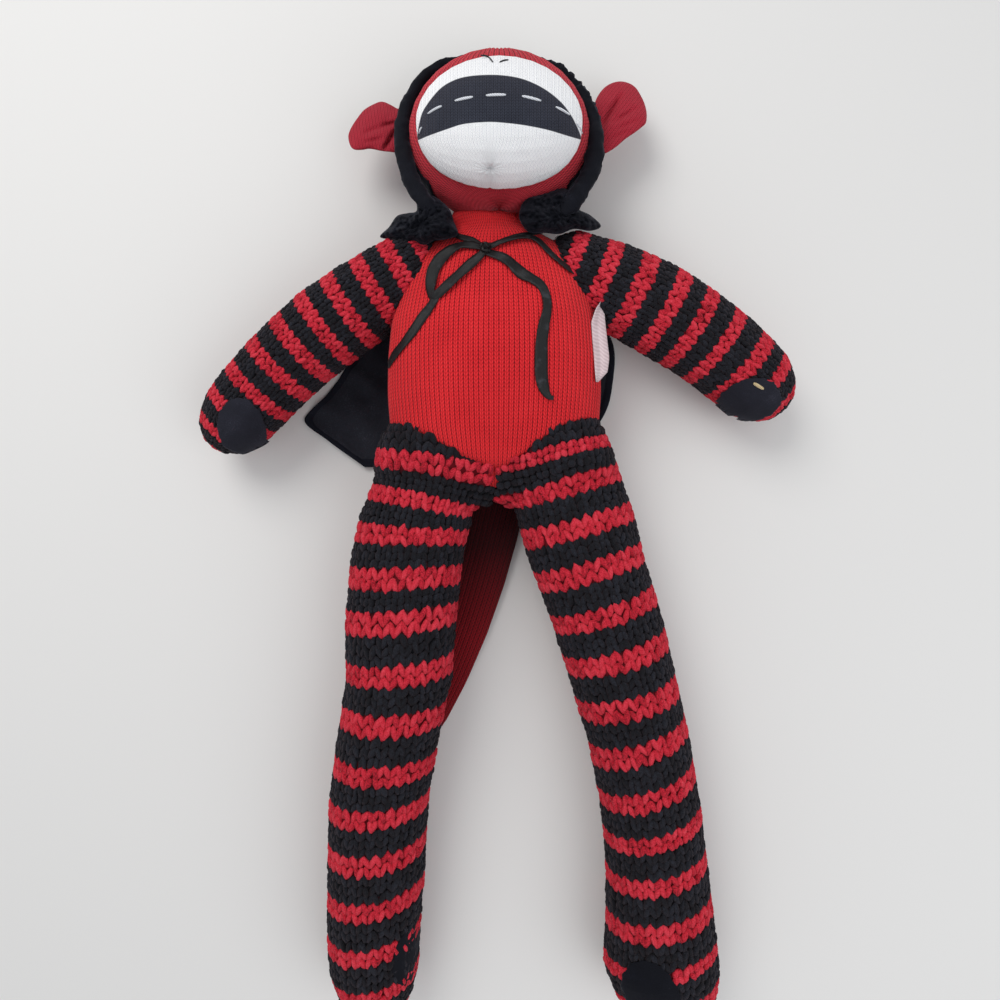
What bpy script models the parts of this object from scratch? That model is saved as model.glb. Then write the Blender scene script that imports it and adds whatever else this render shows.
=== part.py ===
"""Sock monkey doll lying on its back: stuffed knitted limbs on a stuffed body, a hooded
head with a sewn muzzle, a long tail, and a short cape tied with a ribbon bow.

Metres. +Y points to the crown of the head and +Z points up from the face. +X points to
the right of a person who looks down at the doll, and left and right in names are theirs.
The origin is on the underside of the cape, beneath the middle of the body.
"""

import math

import bmesh
import bpy
import numpy as np
from mathutils import Matrix, Vector

# Clearances and cloth
gap = 0.0003
weld_reach = 1e-7
cut_overrun = 0.010
cape_cloth = 0.0012
hood_cloth = 0.0019
flat_cut = 0.0005
patch_cloth = 0.0011
patch_seat = 0.0011
seam_thread = 0.0012
seam_play = 0.0021

# Body: a flattened pear from the crotch to the shoulders
torso_length = 0.192
torso_width = 0.151
torso_depth = 0.095
torso_forward = -0.092
torso_shares = (
    # along, half width, bottom, top
    (0.020, 0.22, 0.27, 0.60),
    (0.065, 0.66, 0.12, 0.70),
    (0.155, 0.90, 0.02, 0.80),
    (0.265, 0.98, 0.00, 0.88),
    (0.400, 1.00, 0.00, 0.94),
    (0.530, 0.99, 0.00, 0.98),
    (0.660, 0.96, 0.00, 0.97),
    (0.765, 0.90, 0.01, 0.92),
    (0.865, 0.82, 0.03, 0.86),
    (0.930, 0.70, 0.08, 0.80),
    (0.970, 0.52, 0.15, 0.76),
    (0.995, 0.36, 0.20, 0.72),
)
torso_squareness = 2.35
chest_edge_share = 0.985

# Neck
neck_radius = 0.024
neck_height = 0.046
neck_reach = 0.005
neck_seam_angle = math.radians(75)

# Head, in its own axes: across, up to the crown, out of the face
head_width = 0.1285
head_tall = 0.130
head_depth = 0.092
head_aside = 0.0035
head_beyond = 0.0635
head_tilt = math.radians(20)
muzzle_width = 0.112
muzzle_tall = 0.092
muzzle_depth = 0.072
muzzle_drop = 0.0183
muzzle_forward = 0.0264
muzzle_core_share = 0.45
mouth_angles = (math.radians(-37), math.radians(9))
eye_radius = 0.0065
eye_thick = 0.003
eye_spread = 0.017
eye_up = 0.0565
eye_profile_shares = ((0.0, 0.9), (0.25, 1.0), (0.75, 1.0), (1.0, 0.82))
rim_radius = 0.0042
rim_forward = 0.0075
rim_opening = math.radians(74)
rim_end_share = 0.35
nape_width_share = 1.6
nape_along_share = 0.75

# Ears
ear_length = 0.040
ear_height = 0.042
ear_thick = 0.012
ear_root_radius = 0.0065
ear_up_share = 0.08
ear_back = 0.012
ear_play = 0.0011
left_ear_turn = math.radians(14)
right_ear_turn = math.radians(-22)
ear_root_share = 1.3
ear_profile_shares = (
    # along, height, thickness
    (0.15, 0.55, 1.04),
    (0.35, 0.86, 0.99),
    (0.60, 1.00, 0.93),
    (0.82, 0.86, 0.88),
    (0.95, 0.50, 0.84),
)

# Arms: the path and the swell are shares of the arm's length and radius
shoulder_spread = 0.059
shoulder_in = 0.027
shoulder_height = 0.050
arm_root_radius = 0.0265
shoulder_seam_angle = math.radians(28)
left_arm_length = 0.196
left_arm_radius = 0.0290
left_arm_heading = math.radians(220)
right_arm_length = 0.187
right_arm_radius = 0.0310
right_arm_heading = math.radians(-32.3)
arm_drop = 0.018
arm_bow = 0.010
arm_shares = (
    # along, radius
    (0.10, 0.95),
    (0.22, 1.00),
    (0.36, 1.03),
    (0.50, 1.00),
    (0.64, 0.98),
    (0.76, 0.96),
    (0.86, 0.90),
    (0.94, 0.68),
    (0.985, 0.36),
)
arm_step_share = 0.02
arm_swing_high = math.radians(55)
arm_lift_high = math.radians(45)

# Legs: each row is along, aside, half width, bottom, top
hip_spread = 0.0465
hip_in = 0.030
hip_height = 0.050
hip_radius = 0.033
hip_half_width = 0.0385
hip_play = 0.0009
hip_lip = 0.0190
hips_length = 0.0468
crotch_half = 0.0076
leg_length = 0.408
leg_width = 0.078
leg_height = 0.080
left_leg_shares = (
    (0.030, 0.000, 0.98, 0.207, 0.925),
    (0.095, -0.024, 1.00, 0.191, 0.945),
    (0.175, -0.040, 1.00, 0.170, 0.990),
    (0.280, -0.050, 0.99, 0.143, 1.000),
    (0.385, -0.054, 0.94, 0.116, 0.990),
    (0.490, -0.074, 0.91, 0.089, 0.965),
    (0.595, -0.090, 0.89, 0.063, 0.940),
    (0.670, -0.094, 0.88, 0.043, 0.910),
    (0.740, -0.097, 0.87, 0.025, 0.880),
    (0.830, -0.102, 0.84, 0.002, 0.845),
    (0.905, -0.102, 0.80, -0.006, 0.810),
    (0.955, -0.101, 0.66, -0.006, 0.730),
    (0.985, -0.100, 0.42, 0.080, 0.600),
)
right_leg_shares = (
    (0.030, 0.008, 1.03, 0.207, 0.925),
    (0.095, 0.028, 1.06, 0.191, 0.945),
    (0.175, 0.048, 1.04, 0.170, 0.990),
    (0.280, 0.084, 1.00, 0.143, 1.000),
    (0.385, 0.112, 0.95, 0.116, 0.990),
    (0.490, 0.140, 0.91, 0.089, 0.965),
    (0.595, 0.160, 0.89, 0.063, 0.940),
    (0.670, 0.170, 0.90, 0.043, 0.910),
    (0.740, 0.177, 0.92, 0.025, 0.890),
    (0.830, 0.182, 0.99, 0.002, 0.890),
    (0.895, 0.184, 1.05, -0.006, 0.880),
    (0.950, 0.192, 0.93, -0.006, 0.800),
    (0.985, 0.196, 0.55, 0.080, 0.620),
)

# Tail: lies on the ground under the legs
tail_length = 0.205
tail_width = 0.042
tail_thick = 0.0150
tail_lift = 0.0004
tail_aside = 0.004
tail_in = 0.004
tail_heading = math.radians(-109)
tail_bow = 0.006
tail_shares = (
    # along, half width, thickness
    (0.12, 1.00, 0.95),
    (0.30, 0.98, 0.80),
    (0.50, 0.92, 0.68),
    (0.70, 0.83, 0.54),
    (0.86, 0.70, 0.44),
    (0.955, 0.48, 0.34),
)

# Cape: a flared panel laid out beneath the body, with the folds at its free corner
cape_in = 0.001
cape_drop = 0.166
cape_half = 0.090
cape_left_shares = (
    # down, aside
    (0.0, -0.42),
    (0.12, -0.72),
    (0.28, -0.98),
    (0.52, -1.28),
    (0.66, -1.47),
    (0.765, -1.64),
    (0.86, -1.44),
    (0.985, -1.12),
)
cape_right_shares = (
    # down, aside
    (0.0, 0.42),
    (0.12, 0.66),
    (0.28, 0.90),
    (0.42, 1.02),
    (0.62, 1.01),
    (0.78, 0.90),
    (0.92, 0.62),
    (0.975, 0.20),
)
fold_height = 0.0042
fold_count = 3.5
fold_start_share = 0.86
fold_skew_share = 0.35
fold_fill_share = 1.4

# Ribbon, bow and collar
ribbon_width = 0.0065
ribbon_thick = 0.0006
bow_along_share = 0.879
bow_aside = -0.0055
bow_span = 0.060
knot_size = 0.0085
knot_shares = (0.9, 0.9, 0.7)
ribbon_crown_share = 1.2
left_loop_shares = (
    # across, along, from the knot
    (-0.12, 0.04),
    (-0.40, 0.01),
    (-0.60, -0.18),
    (-0.64, -0.37),
    (-0.60, -0.56),
    (-0.35, -0.31),
    (-0.14, -0.14),
)
right_loop_shares = (
    # across, along, from the knot
    (0.15, 0.04),
    (0.33, 0.09),
    (0.52, 0.05),
    (0.64, -0.02),
    (0.74, -0.14),
)
left_tail_shares = (
    # across, along, from the knot
    (-0.10, -0.16),
    (-0.34, -0.46),
    (-0.57, -0.66),
    (-0.75, -0.82),
    (-0.95, -1.03),
    (-1.06, -1.16),
    (-1.08, -1.32),
)
right_tail_shares = (
    # across, along, from the knot
    (0.10, -0.09),
    (0.26, -0.16),
    (0.40, -0.275),
    (0.52, -0.33),
    (0.64, -0.42),
    (0.69, -0.57),
    (0.65, -0.75),
    (0.57, -1.08),
    (0.57, -1.48),
    (0.67, -1.62),
    (0.84, -1.63),
)
left_neck_shares = ((-0.36, 0.15), (-0.24, 0.15), (-0.13, 0.09))
right_neck_shares = ((0.50, 0.15), (0.34, 0.17), (0.15, 0.13))
ruffle_length = 0.029
ruffle_width = 0.0135
ruffle_thick = 0.009
ruffle_pleats = 7
ruffle_crimp_share = 0.18
ruffle_along_share = 0.966
ruffle_spread = 0.0305

# Care tag, a folded slip sewn into the side seam
tag_length = 0.040
tag_width = 0.020
tag_thick = 0.0014
tag_along_share = 0.508
tag_height_share = 0.60
tag_lean = math.radians(52)
tag_shares = ((0, -0.5), (1, -0.5), (1.03, 0), (1, 0.5), (0, 0.5))

# Hand and foot patches: where they sit round the limb, and their size
left_hand_patch = (0.040, 0.032, 0.84, math.radians(95))
right_hand_patch = (0.036, 0.034, 0.80, math.radians(132))
left_foot_patch = (0.046, 0.036, 0.86, math.radians(28))
right_foot_patch = (0.050, 0.036, 0.905, math.radians(112))

limb_sides = 18
body_sides = 26


def material(name, colour, roughness=0.9):
    found = bpy.data.materials.get(name)
    if found:
        return found
    made = bpy.data.materials.new(name)
    made.use_nodes = True
    shader = made.node_tree.nodes["Principled BSDF"]
    shader.inputs["Base Color"].default_value = (*colour, 1.0)
    shader.inputs["Roughness"].default_value = roughness
    shader.inputs["Metallic"].default_value = 0.0
    return made


def finishes():
    return {
        "red knit": material("red knit", (0.55, 0.012, 0.016)),
        "striped knit": material("striped knit", (0.30, 0.012, 0.018)),
        "white knit": material("white knit", (0.82, 0.83, 0.86)),
        "black knit": material("black knit", (0.012, 0.012, 0.016)),
        "black velour": material("black velour", (0.010, 0.010, 0.016)),
        "black satin": material("black satin", (0.008, 0.008, 0.010), 0.35),
        "white tape": material("white tape", (0.85, 0.85, 0.84), 0.7),
        "thread": material("thread", (0.40, 0.010, 0.014), 0.8),
        "black button": material("black button", (0.01, 0.01, 0.01), 0.25),
    }


def place(name, bm, finish, pivot=None):
    """Close the mesh, turn its faces out, and stand the object on its pivot."""
    bmesh.ops.remove_doubles(bm, verts=bm.verts, dist=weld_reach)
    bmesh.ops.recalc_face_normals(bm, faces=bm.faces)
    centre = Vector(pivot) if pivot is not None else Vector((0, 0, 0))
    bmesh.ops.translate(bm, verts=bm.verts, vec=-centre)
    mesh = bpy.data.meshes.new(name)
    bm.to_mesh(mesh)
    bm.free()
    mesh.shade_smooth()
    mesh.materials.append(finish)
    obj = bpy.data.objects.new(name, mesh)
    obj.location = centre
    bpy.context.scene.collection.objects.link(obj)
    return obj


def superellipse(sides, power):
    """Unit outline; a power over 2 squares it a little."""
    turn = 2 * math.pi * np.arange(sides) / sides
    c, s = np.cos(turn), np.sin(turn)
    return np.sign(c) * np.abs(c) ** (2 / power), np.sign(s) * np.abs(s) ** (2 / power)


def section(centre, across, up, half_across, half_up, sides, power=2.0):
    c, s = superellipse(sides, power)
    return [
        Vector(centre) + Vector(across) * (half_across * a) + Vector(up) * (half_up * b)
        for a, b in zip(c, s)
    ]


def skin(rings, start=None, end=None):
    """Join rings of points into one closed skin, with a pole at each end."""
    bm = bmesh.new()
    rows = [[bm.verts.new(p) for p in ring] for ring in rings]
    for low, high in zip(rows, rows[1:]):
        count = len(low)
        for i in range(count):
            j = (i + 1) % count
            bm.faces.new((low[i], low[j], high[j], high[i]))
    for row, pole in ((rows[0], start), (rows[-1], end)):
        if pole is None:
            bm.faces.new(row)
            continue
        tip = bm.verts.new(pole)
        for i in range(len(row)):
            bm.faces.new((row[i], row[(i + 1) % len(row)], tip))
    return bm


def ellipsoid(centre, axes, halves, sides=24, rows=12):
    """A closed ellipsoid whose poles lie on the first axis."""
    centre = Vector(centre)
    first, second, third = (Vector(a) for a in axes)
    rings = []
    for row in range(1, rows):
        turn = math.pi * row / rows
        middle = centre - first * (halves[0] * math.cos(turn))
        size = math.sin(turn)
        rings.append(section(middle, second, third, halves[1] * size, halves[2] * size, sides))
    return skin(rings, centre - first * halves[0], centre + first * halves[0])


def box(low, high):
    bm = bmesh.new()
    bmesh.ops.create_cube(bm, size=1.0)
    size = Vector(high) - Vector(low)
    bmesh.ops.scale(bm, verts=bm.verts, vec=size)
    bmesh.ops.translate(bm, verts=bm.verts, vec=(Vector(low) + Vector(high)) / 2)
    return bm


def prism(outline, low, high):
    """An outline in plan, extruded from one height to another."""
    bm = bmesh.new()
    base = [bm.verts.new((x, y, low)) for x, y in outline]
    top = [bm.verts.new((x, y, high)) for x, y in outline]
    bm.faces.new(base)
    bm.faces.new(top)
    for i in range(len(base)):
        j = (i + 1) % len(base)
        bm.faces.new((base[i], base[j], top[j], top[i]))
    return bm


def cutter(name, bm):
    obj = place(name, bm, None)
    obj.hide_render = True
    obj.display_type = "WIRE"
    return obj


def carve(obj, tool, operation="DIFFERENCE"):
    step = obj.modifiers.new(f"{operation.lower()} {tool.name}", "BOOLEAN")
    step.operation = operation
    step.solver = "EXACT"
    step.object = tool


# Body


def torso_section(along):
    """Half width, bottom and top of the body at a share of its length."""
    rows = np.array(torso_shares)
    at = [np.interp(along, rows[:, 0], rows[:, k]) for k in (1, 2, 3)]
    return at[0] * torso_width / 2, body_lift() + at[1] * torso_depth, body_lift() + at[2] * torso_depth


def body_lift():
    return cape_cloth + 2 * gap


def chest_height(x, y):
    """Height of the body's front surface."""
    half, low, high = torso_section((y - torso_forward) / torso_length)
    share = min(abs(x) / half, chest_edge_share)
    rise = (1 - share**torso_squareness) ** (1 / torso_squareness)
    return (low + high) / 2 + (high - low) / 2 * rise


def neck_centre():
    return Vector((0, torso_forward + torso_length + neck_reach - gap, neck_height))


def body_form():
    rings = []
    for along, *_ in torso_shares:
        half, low, high = torso_section(along)
        centre = (0, torso_forward + along * torso_length, (low + high) / 2)
        deep = (high - low) / 2
        rings.append(section(centre, (1, 0, 0), (0, 0, 1), half, deep, body_sides, torso_squareness))
    ball = neck_centre()
    for turn in (-28, -6, 14, 34, 54, 74):
        angle = math.radians(turn)
        centre = ball + Vector((0, neck_radius * math.sin(angle), 0))
        size = neck_radius * math.cos(angle)
        rings.append(section(centre, (1, 0, 0), (0, 0, 1), size, size, body_sides))
    return skin(rings, (0, torso_forward, rest_middle()), ball + Vector((0, neck_radius, 0)))


def rest_middle():
    _, low, high = torso_section(0)
    return (low + high) / 2


def hip_centre(side):
    return Vector((side * hip_spread, torso_forward + hip_in, hip_height))


def shoulder_centre(side):
    along = torso_forward + torso_length - shoulder_in
    return Vector((side * shoulder_spread, along, shoulder_height))


def build_body(finish):
    far = torso_length
    hip_split = torso_forward + hips_length
    ends = {
        "torso": (Vector((-far, hip_split + gap / 2, -far)), Vector((far, far, far))),
        "hips": (Vector((-far, -far, -far)), Vector((far, hip_split - gap / 2, far))),
    }
    for name, (low, high) in ends.items():
        body = place(name, body_form(), finish["red knit" if name == "torso" else "striped knit"])
        for side in (-1, 1):
            hip = hip_centre(side)
            seat = hip_radius + hip_play
            axes = ((1, 0, 0), (0, 1, 0), (0, 0, 1))
            round_seat = ellipsoid(hip, axes, (hip_half_width + hip_play, seat, seat), 28, 14)
            carve(body, cutter(f"{name} hip seat {side}", round_seat))
            inner, outer = side * crotch_half, side * far
            low_x, high_x = min(inner, outer), max(inner, outer)
            sweep = box((low_x, -far, hip_height - gap), (high_x, hip.y + hip_lip, far))
            carve(body, cutter(f"{name} thigh sweep {side}", sweep))
            if name == "hips":
                under = hip_height - hip_radius - hip_play - 2 * gap
                inside = side * (crotch_half - gap)
                low_x, high_x = min(inside, outer), max(inside, outer)
                rest = box((low_x, -far, under), (high_x, hip.y - gap, hip_height + hip_lip))
                carve(body, cutter(f"{name} thigh rest {side}", rest))
            if name == "torso":
                for number, tool in enumerate(arm_clearance(side)):
                    carve(body, cutter(f"arm clearance {side} {number}", tool))
        if name == "hips":
            root = tail_pivot()
            bore = tail_width / 2 + 2 * gap
            ring = section(root, (1, 0, 0), (0, 1, 0), bore, bore, 28)
            tool = prism([(p.x, p.y) for p in ring], -cut_overrun, tail_lift + tail_thick + 3 * gap)
            carve(body, cutter("tail root seat", tool))
            over = tail_lift + tail_thick + 2 * gap
            slot = box((-far, -far, -2 * cut_overrun), (far, root.y + gap, over))
            carve(body, cutter("tail sweep", slot))
        carve(body, cutter(f"keep {name}", box(low, high)), "INTERSECT")


# Limbs


class Limb:
    """A stuffed tube along a path, with a point function for what is sewn onto it."""

    def __init__(self, places):
        self.places = places

    def section_at(self, t):
        rows = self.places
        shares = [row[0] for row in rows]
        t = min(max(t, shares[0]), shares[-1])
        k = min(max(int(np.searchsorted(shares, t)) - 1, 0), len(rows) - 2)
        w = (t - shares[k]) / (shares[k + 1] - shares[k])
        low, high = rows[k], rows[k + 1]
        mixed = [low[i] * (1 - w) + high[i] * w for i in range(1, 6)]
        return mixed[0], mixed[1].normalized(), mixed[2].normalized(), mixed[3], mixed[4]

    def point(self, t, angle, lift):
        centre, across, up, half_across, half_up = self.section_at(t)
        c, s = math.cos(angle), math.sin(angle)
        return centre + across * ((half_across + lift) * c) + up * ((half_up + lift) * s)

    def rings(self, sides):
        return [section(c, a, u, ha, hu, sides) for _, c, a, u, ha, hu in self.places]


def arm_sizes(side):
    if side < 0:
        return left_arm_length, left_arm_radius, left_arm_heading
    return right_arm_length, right_arm_radius, right_arm_heading


def arm(side):
    length, radius, heading = arm_sizes(side)
    root = shoulder_centre(side)
    chord = Vector((math.cos(heading), math.sin(heading), 0))
    out = Vector((-chord.y, chord.x, 0)) * side

    def path(t):
        bend = out * (arm_bow * math.sin(math.pi * t))
        drop = Vector((0, 0, -arm_drop * t ** 1.2))
        return root + chord * (length * t) + bend + drop

    places = []
    for turn in (-72, -54, -36, -18, 0):
        angle = math.radians(turn)
        centre = root + chord * (arm_root_radius * math.sin(angle))
        size = arm_root_radius * math.cos(angle)
        share = arm_root_radius * math.sin(angle) / length
        places.append((share, centre, out, Vector((0, 0, 1)), size, size))
    for t, swell in arm_shares:
        tangent = (path(t + arm_step_share) - path(t - arm_step_share)).normalized()
        across = Vector((-tangent.y, tangent.x, 0)).normalized() * side
        up = across.cross(tangent) * side
        up = up if up.z > 0 else -up
        places.append((t, path(t), across, up, swell * radius, swell * radius))
    return Limb(places), root - chord * arm_root_radius, path(1.0), root, chord


def arm_clearance(side):
    """The shoulder seat, and the space of the arm hanging, raised and lifted."""
    length, radius, _ = arm_sizes(side)
    _, _, _, root, chord = arm(side)
    share, swell = arm_shares[2]
    seat = arm_root_radius + seam_play
    axes = (chord, Vector((-chord.y, chord.x, 0)), Vector((0, 0, 1)))
    tools = [ellipsoid(root, axes, (seat, seat, seat), 28, 14)]
    swung = side * arm_swing_high
    poses = ((0, 0), (swung, 0), (0, arm_lift_high), (swung, arm_lift_high))
    for number, (turn, lift) in enumerate(poses):
        heading = Matrix.Rotation(turn, 3, "Z") @ (chord * math.cos(lift) + Vector((0, 0, math.sin(lift))))
        across = Vector((-chord.y, chord.x, 0))
        across = Matrix.Rotation(turn, 3, "Z") @ across
        up = heading.cross(across)
        size = swell * radius + (2 + number) * gap + arm_bow / 2
        far = share * length
        rings = [section(root + heading * (far * s), across, up, size, size, 20) for s in (0.0, 1.0)]
        tools.append(skin(rings))
    return tools


def leg(side):
    rows = left_leg_shares if side < 0 else right_leg_shares
    root = hip_centre(side)
    across, up = Vector((1, 0, 0)), Vector((0, 0, 1))
    places = []
    for turn in (-78, -60, -45, -30, -15, 0):
        angle = math.radians(turn)
        centre = root - Vector((0, hip_radius * math.sin(angle), 0))
        size = math.cos(angle)
        share = hip_radius * math.sin(angle) / leg_length
        places.append((share, centre, across, up, hip_half_width * size, hip_radius * size))
    for t, aside, width, low, high in rows:
        middle = (low + high) / 2 * leg_height
        centre = Vector((root.x + aside * leg_length, root.y - t * leg_length, middle))
        places.append((t, centre, across, up, width * leg_width / 2, (high - low) / 2 * leg_height))
    _, aside, _, low, high = rows[-1]
    tip = Vector((root.x + aside * leg_length, root.y - leg_length, (low + high) / 2 * leg_height))
    return Limb(places), root + Vector((0, hip_radius, 0)), tip, root


def patch(limb, facts):
    """A disc of thin knit sewn over the limb's end."""
    length, width, middle, turn = facts
    centre, _, _, half_across, half_up = limb.section_at(middle)
    radius = (half_across + half_up) / 2
    span = limb_span(limb)
    rings = []
    outline = 16
    across = (0.3, 0.55, 0.78, 0.96)
    layers = [(s, 1) for s in across] + [(1.0, 0.5)] + [(s, 0) for s in reversed(across)]
    for share, level in layers:
        lift = patch_seat + patch_cloth * level
        ring = []
        for i in range(outline):
            a = 2 * math.pi * i / outline
            t = middle + share * length / 2 * math.cos(a) / span
            angle = turn + share * width / 2 * math.sin(a) / radius
            ring.append(limb.point(t, angle, lift))
        rings.append(ring)
    top = limb.point(middle, turn, patch_seat + patch_cloth)
    bottom = limb.point(middle, turn, patch_seat)
    return skin(rings, top, bottom)


def limb_span(limb):
    first, last = limb.places[5], limb.places[-1]
    return (last[1] - first[1]).length / (last[0] - first[0])


def seam_ring(centre, axis, across, radius, angle):
    """The thread that gathers a limb's root: a hoop in the shell between ball and seat."""
    axis, across = Vector(axis).normalized(), Vector(across).normalized()
    third = axis.cross(across)
    reach = radius + seam_play / 2
    middle = Vector(centre) + axis * (reach * math.cos(angle))
    hoop = reach * math.sin(angle)
    bm = bmesh.new()
    around, thick = 28, 6
    rows = []
    for i in range(around):
        a = 2 * math.pi * i / around
        out = across * math.cos(a) + third * math.sin(a)
        row = []
        for j in range(thick):
            b = 2 * math.pi * j / thick
            round_out = out * (hoop + seam_thread / 2 * math.cos(b))
            row.append(bm.verts.new(middle + round_out + axis * (seam_thread / 2 * math.sin(b))))
        rows.append(row)
    for i in range(around):
        for j in range(thick):
            k, m = (i + 1) % around, (j + 1) % thick
            bm.faces.new((rows[i][j], rows[k][j], rows[k][m], rows[i][m]))
    return bm


def build_arms(finish):
    for side, name in ((-1, "left"), (1, "right")):
        limb, start, tip, root, chord = arm(side)
        place(f"{name}_arm", skin(limb.rings(limb_sides), start, tip), finish["striped knit"], root)
        facts = left_hand_patch if side < 0 else right_hand_patch
        place(f"{name}_hand_patch", patch(limb, facts), finish["black knit"], root)
        ring = seam_ring(root, -chord, (0, 0, 1), arm_root_radius, shoulder_seam_angle)
        place(f"{name}_shoulder_seam", ring, finish["thread"], root)


def build_legs(finish):
    for side, name in ((-1, "left"), (1, "right")):
        limb, start, tip, root = leg(side)
        obj = place(f"{name}_leg", skin(limb.rings(limb_sides), start, tip), finish["striped knit"], root)
        far = leg_length
        floor = cutter(f"{name} foot rest", box((-far, -2 * far, -far), (far, far, 0)))
        carve(obj, floor)
        facts = left_foot_patch if side < 0 else right_foot_patch
        place(f"{name}_foot_patch", patch(limb, facts), finish["black knit"], root)


# Head


def head_centre():
    beyond = neck_centre().y + head_beyond
    lowest = math.hypot(head_tall / 2 * math.sin(head_tilt), head_depth / 2 * math.cos(head_tilt))
    return Vector((head_aside, beyond, lowest + hood_cloth + gap - flat_cut))


def head_axes():
    c, s = math.cos(head_tilt), math.sin(head_tilt)
    return Vector((1, 0, 0)), Vector((0, c, -s)), Vector((0, s, c))


def head_halves(grow=0.0):
    return head_width / 2 + grow, head_tall / 2 + grow, head_depth / 2 + grow


def muzzle_centre():
    _, crown, face = head_axes()
    return head_centre() - crown * muzzle_drop + face * muzzle_forward


def neck_seat():
    seat = neck_radius + seam_play
    return ellipsoid(neck_centre(), ((0, 1, 0), (1, 0, 0), (0, 0, 1)), (seat, seat, seat), 28, 14)


def ear_pivot(side):
    across, crown, face = head_axes()
    up = ear_up_share * head_tall
    share = 1 - (2 * up / head_tall) ** 2 - (2 * ear_back / head_depth) ** 2
    reach = head_width / 2 * math.sqrt(share) + hood_cloth + ear_root_radius + ear_play
    return head_centre() + across * (side * reach) + crown * up - face * ear_back


def build_head(finish):
    pivot = neck_centre()
    form = ellipsoid(head_centre(), head_axes(), head_halves(), 30, 15)
    head = place("head", form, finish["red knit"], pivot)
    carve(head, cutter("neck seat", neck_seat()))
    build_muzzle(finish, pivot)
    build_eyes(finish, pivot)
    build_hood(finish, pivot)
    seam = seam_ring(pivot, (0, 1, 0), (1, 0, 0), neck_radius, neck_seam_angle)
    place("neck_seam", seam, finish["thread"], pivot)


def muzzle_wedge(low, high):
    """A slice of the muzzle between two turns about its axis across the face."""
    across, crown, face = head_axes()
    centre = muzzle_centre()
    halves = (muzzle_width / 2, muzzle_tall / 2, muzzle_depth / 2)
    turns = max(4, round((high - low) / math.radians(11)))
    rows = 16
    bm = bmesh.new()
    sheets = []
    for share in (1.0, muzzle_core_share):
        sheet = []
        for i in range(turns + 1):
            turn = low + (high - low) * i / turns
            line = []
            for j in range(1, rows):
                a = math.pi * j / rows
                size = math.sin(a) * share
                point = centre - across * (halves[0] * math.cos(a) * (0.5 + share / 2))
                point += crown * (halves[1] * math.sin(turn) * size)
                point += face * (halves[2] * math.cos(turn) * size)
                line.append(bm.verts.new(point))
            sheet.append(line)
        sheets.append(sheet)
    outer, inner = sheets
    for sheet in sheets:
        for i in range(turns):
            for j in range(rows - 2):
                bm.faces.new((sheet[i][j], sheet[i + 1][j], sheet[i + 1][j + 1], sheet[i][j + 1]))
    for i in range(turns):
        for j in (0, rows - 2):
            bm.faces.new((outer[i][j], outer[i + 1][j], inner[i + 1][j], inner[i][j]))
    for i in (0, turns):
        for j in range(rows - 2):
            bm.faces.new((outer[i][j], outer[i][j + 1], inner[i][j + 1], inner[i][j]))
    return bm


def build_muzzle(finish, pivot):
    """White upper and lower panels of the muzzle, and the black band between them."""
    parting = gap / (muzzle_depth / 2)
    low, high = mouth_angles
    slices = (
        ("muzzle_lower", math.radians(-150), low - parting, "white knit"),
        ("mouth_band", low, high, "black knit"),
        ("muzzle_upper", high + parting, math.radians(150), "white knit"),
    )
    for name, start, end, cloth in slices:
        piece = place(name, muzzle_wedge(start, end), finish[cloth], pivot)
        inside = ellipsoid(head_centre(), head_axes(), head_halves(gap), 30, 15)
        carve(piece, cutter(f"{name} back", inside))


def build_eyes(finish, pivot):
    """Two flat buttons on the face just above the muzzle."""
    across, crown, face = head_axes()
    half_w, half_t, half_d = head_halves()
    for side, name in ((-1, "left"), (1, "right")):
        x = side * eye_spread / half_w
        y = eye_up / half_t
        z = math.sqrt(1 - x * x - y * y)
        out = (across * (x / half_w) + crown * (y / half_t) + face * (z / half_d)).normalized()
        spot = head_centre() + across * (x * half_w) + crown * eye_up + face * (z * half_d)
        right = out.cross(crown).normalized()
        up = right.cross(out)
        seat = spot + out * (2 * gap)
        rings = []
        for high, wide in eye_profile_shares:
            radius = eye_radius * wide
            rings.append(section(seat + out * (eye_thick * high), right, up, radius, radius, 20))
        place(f"{name}_eye", skin(rings), finish["black button"], pivot)


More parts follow.
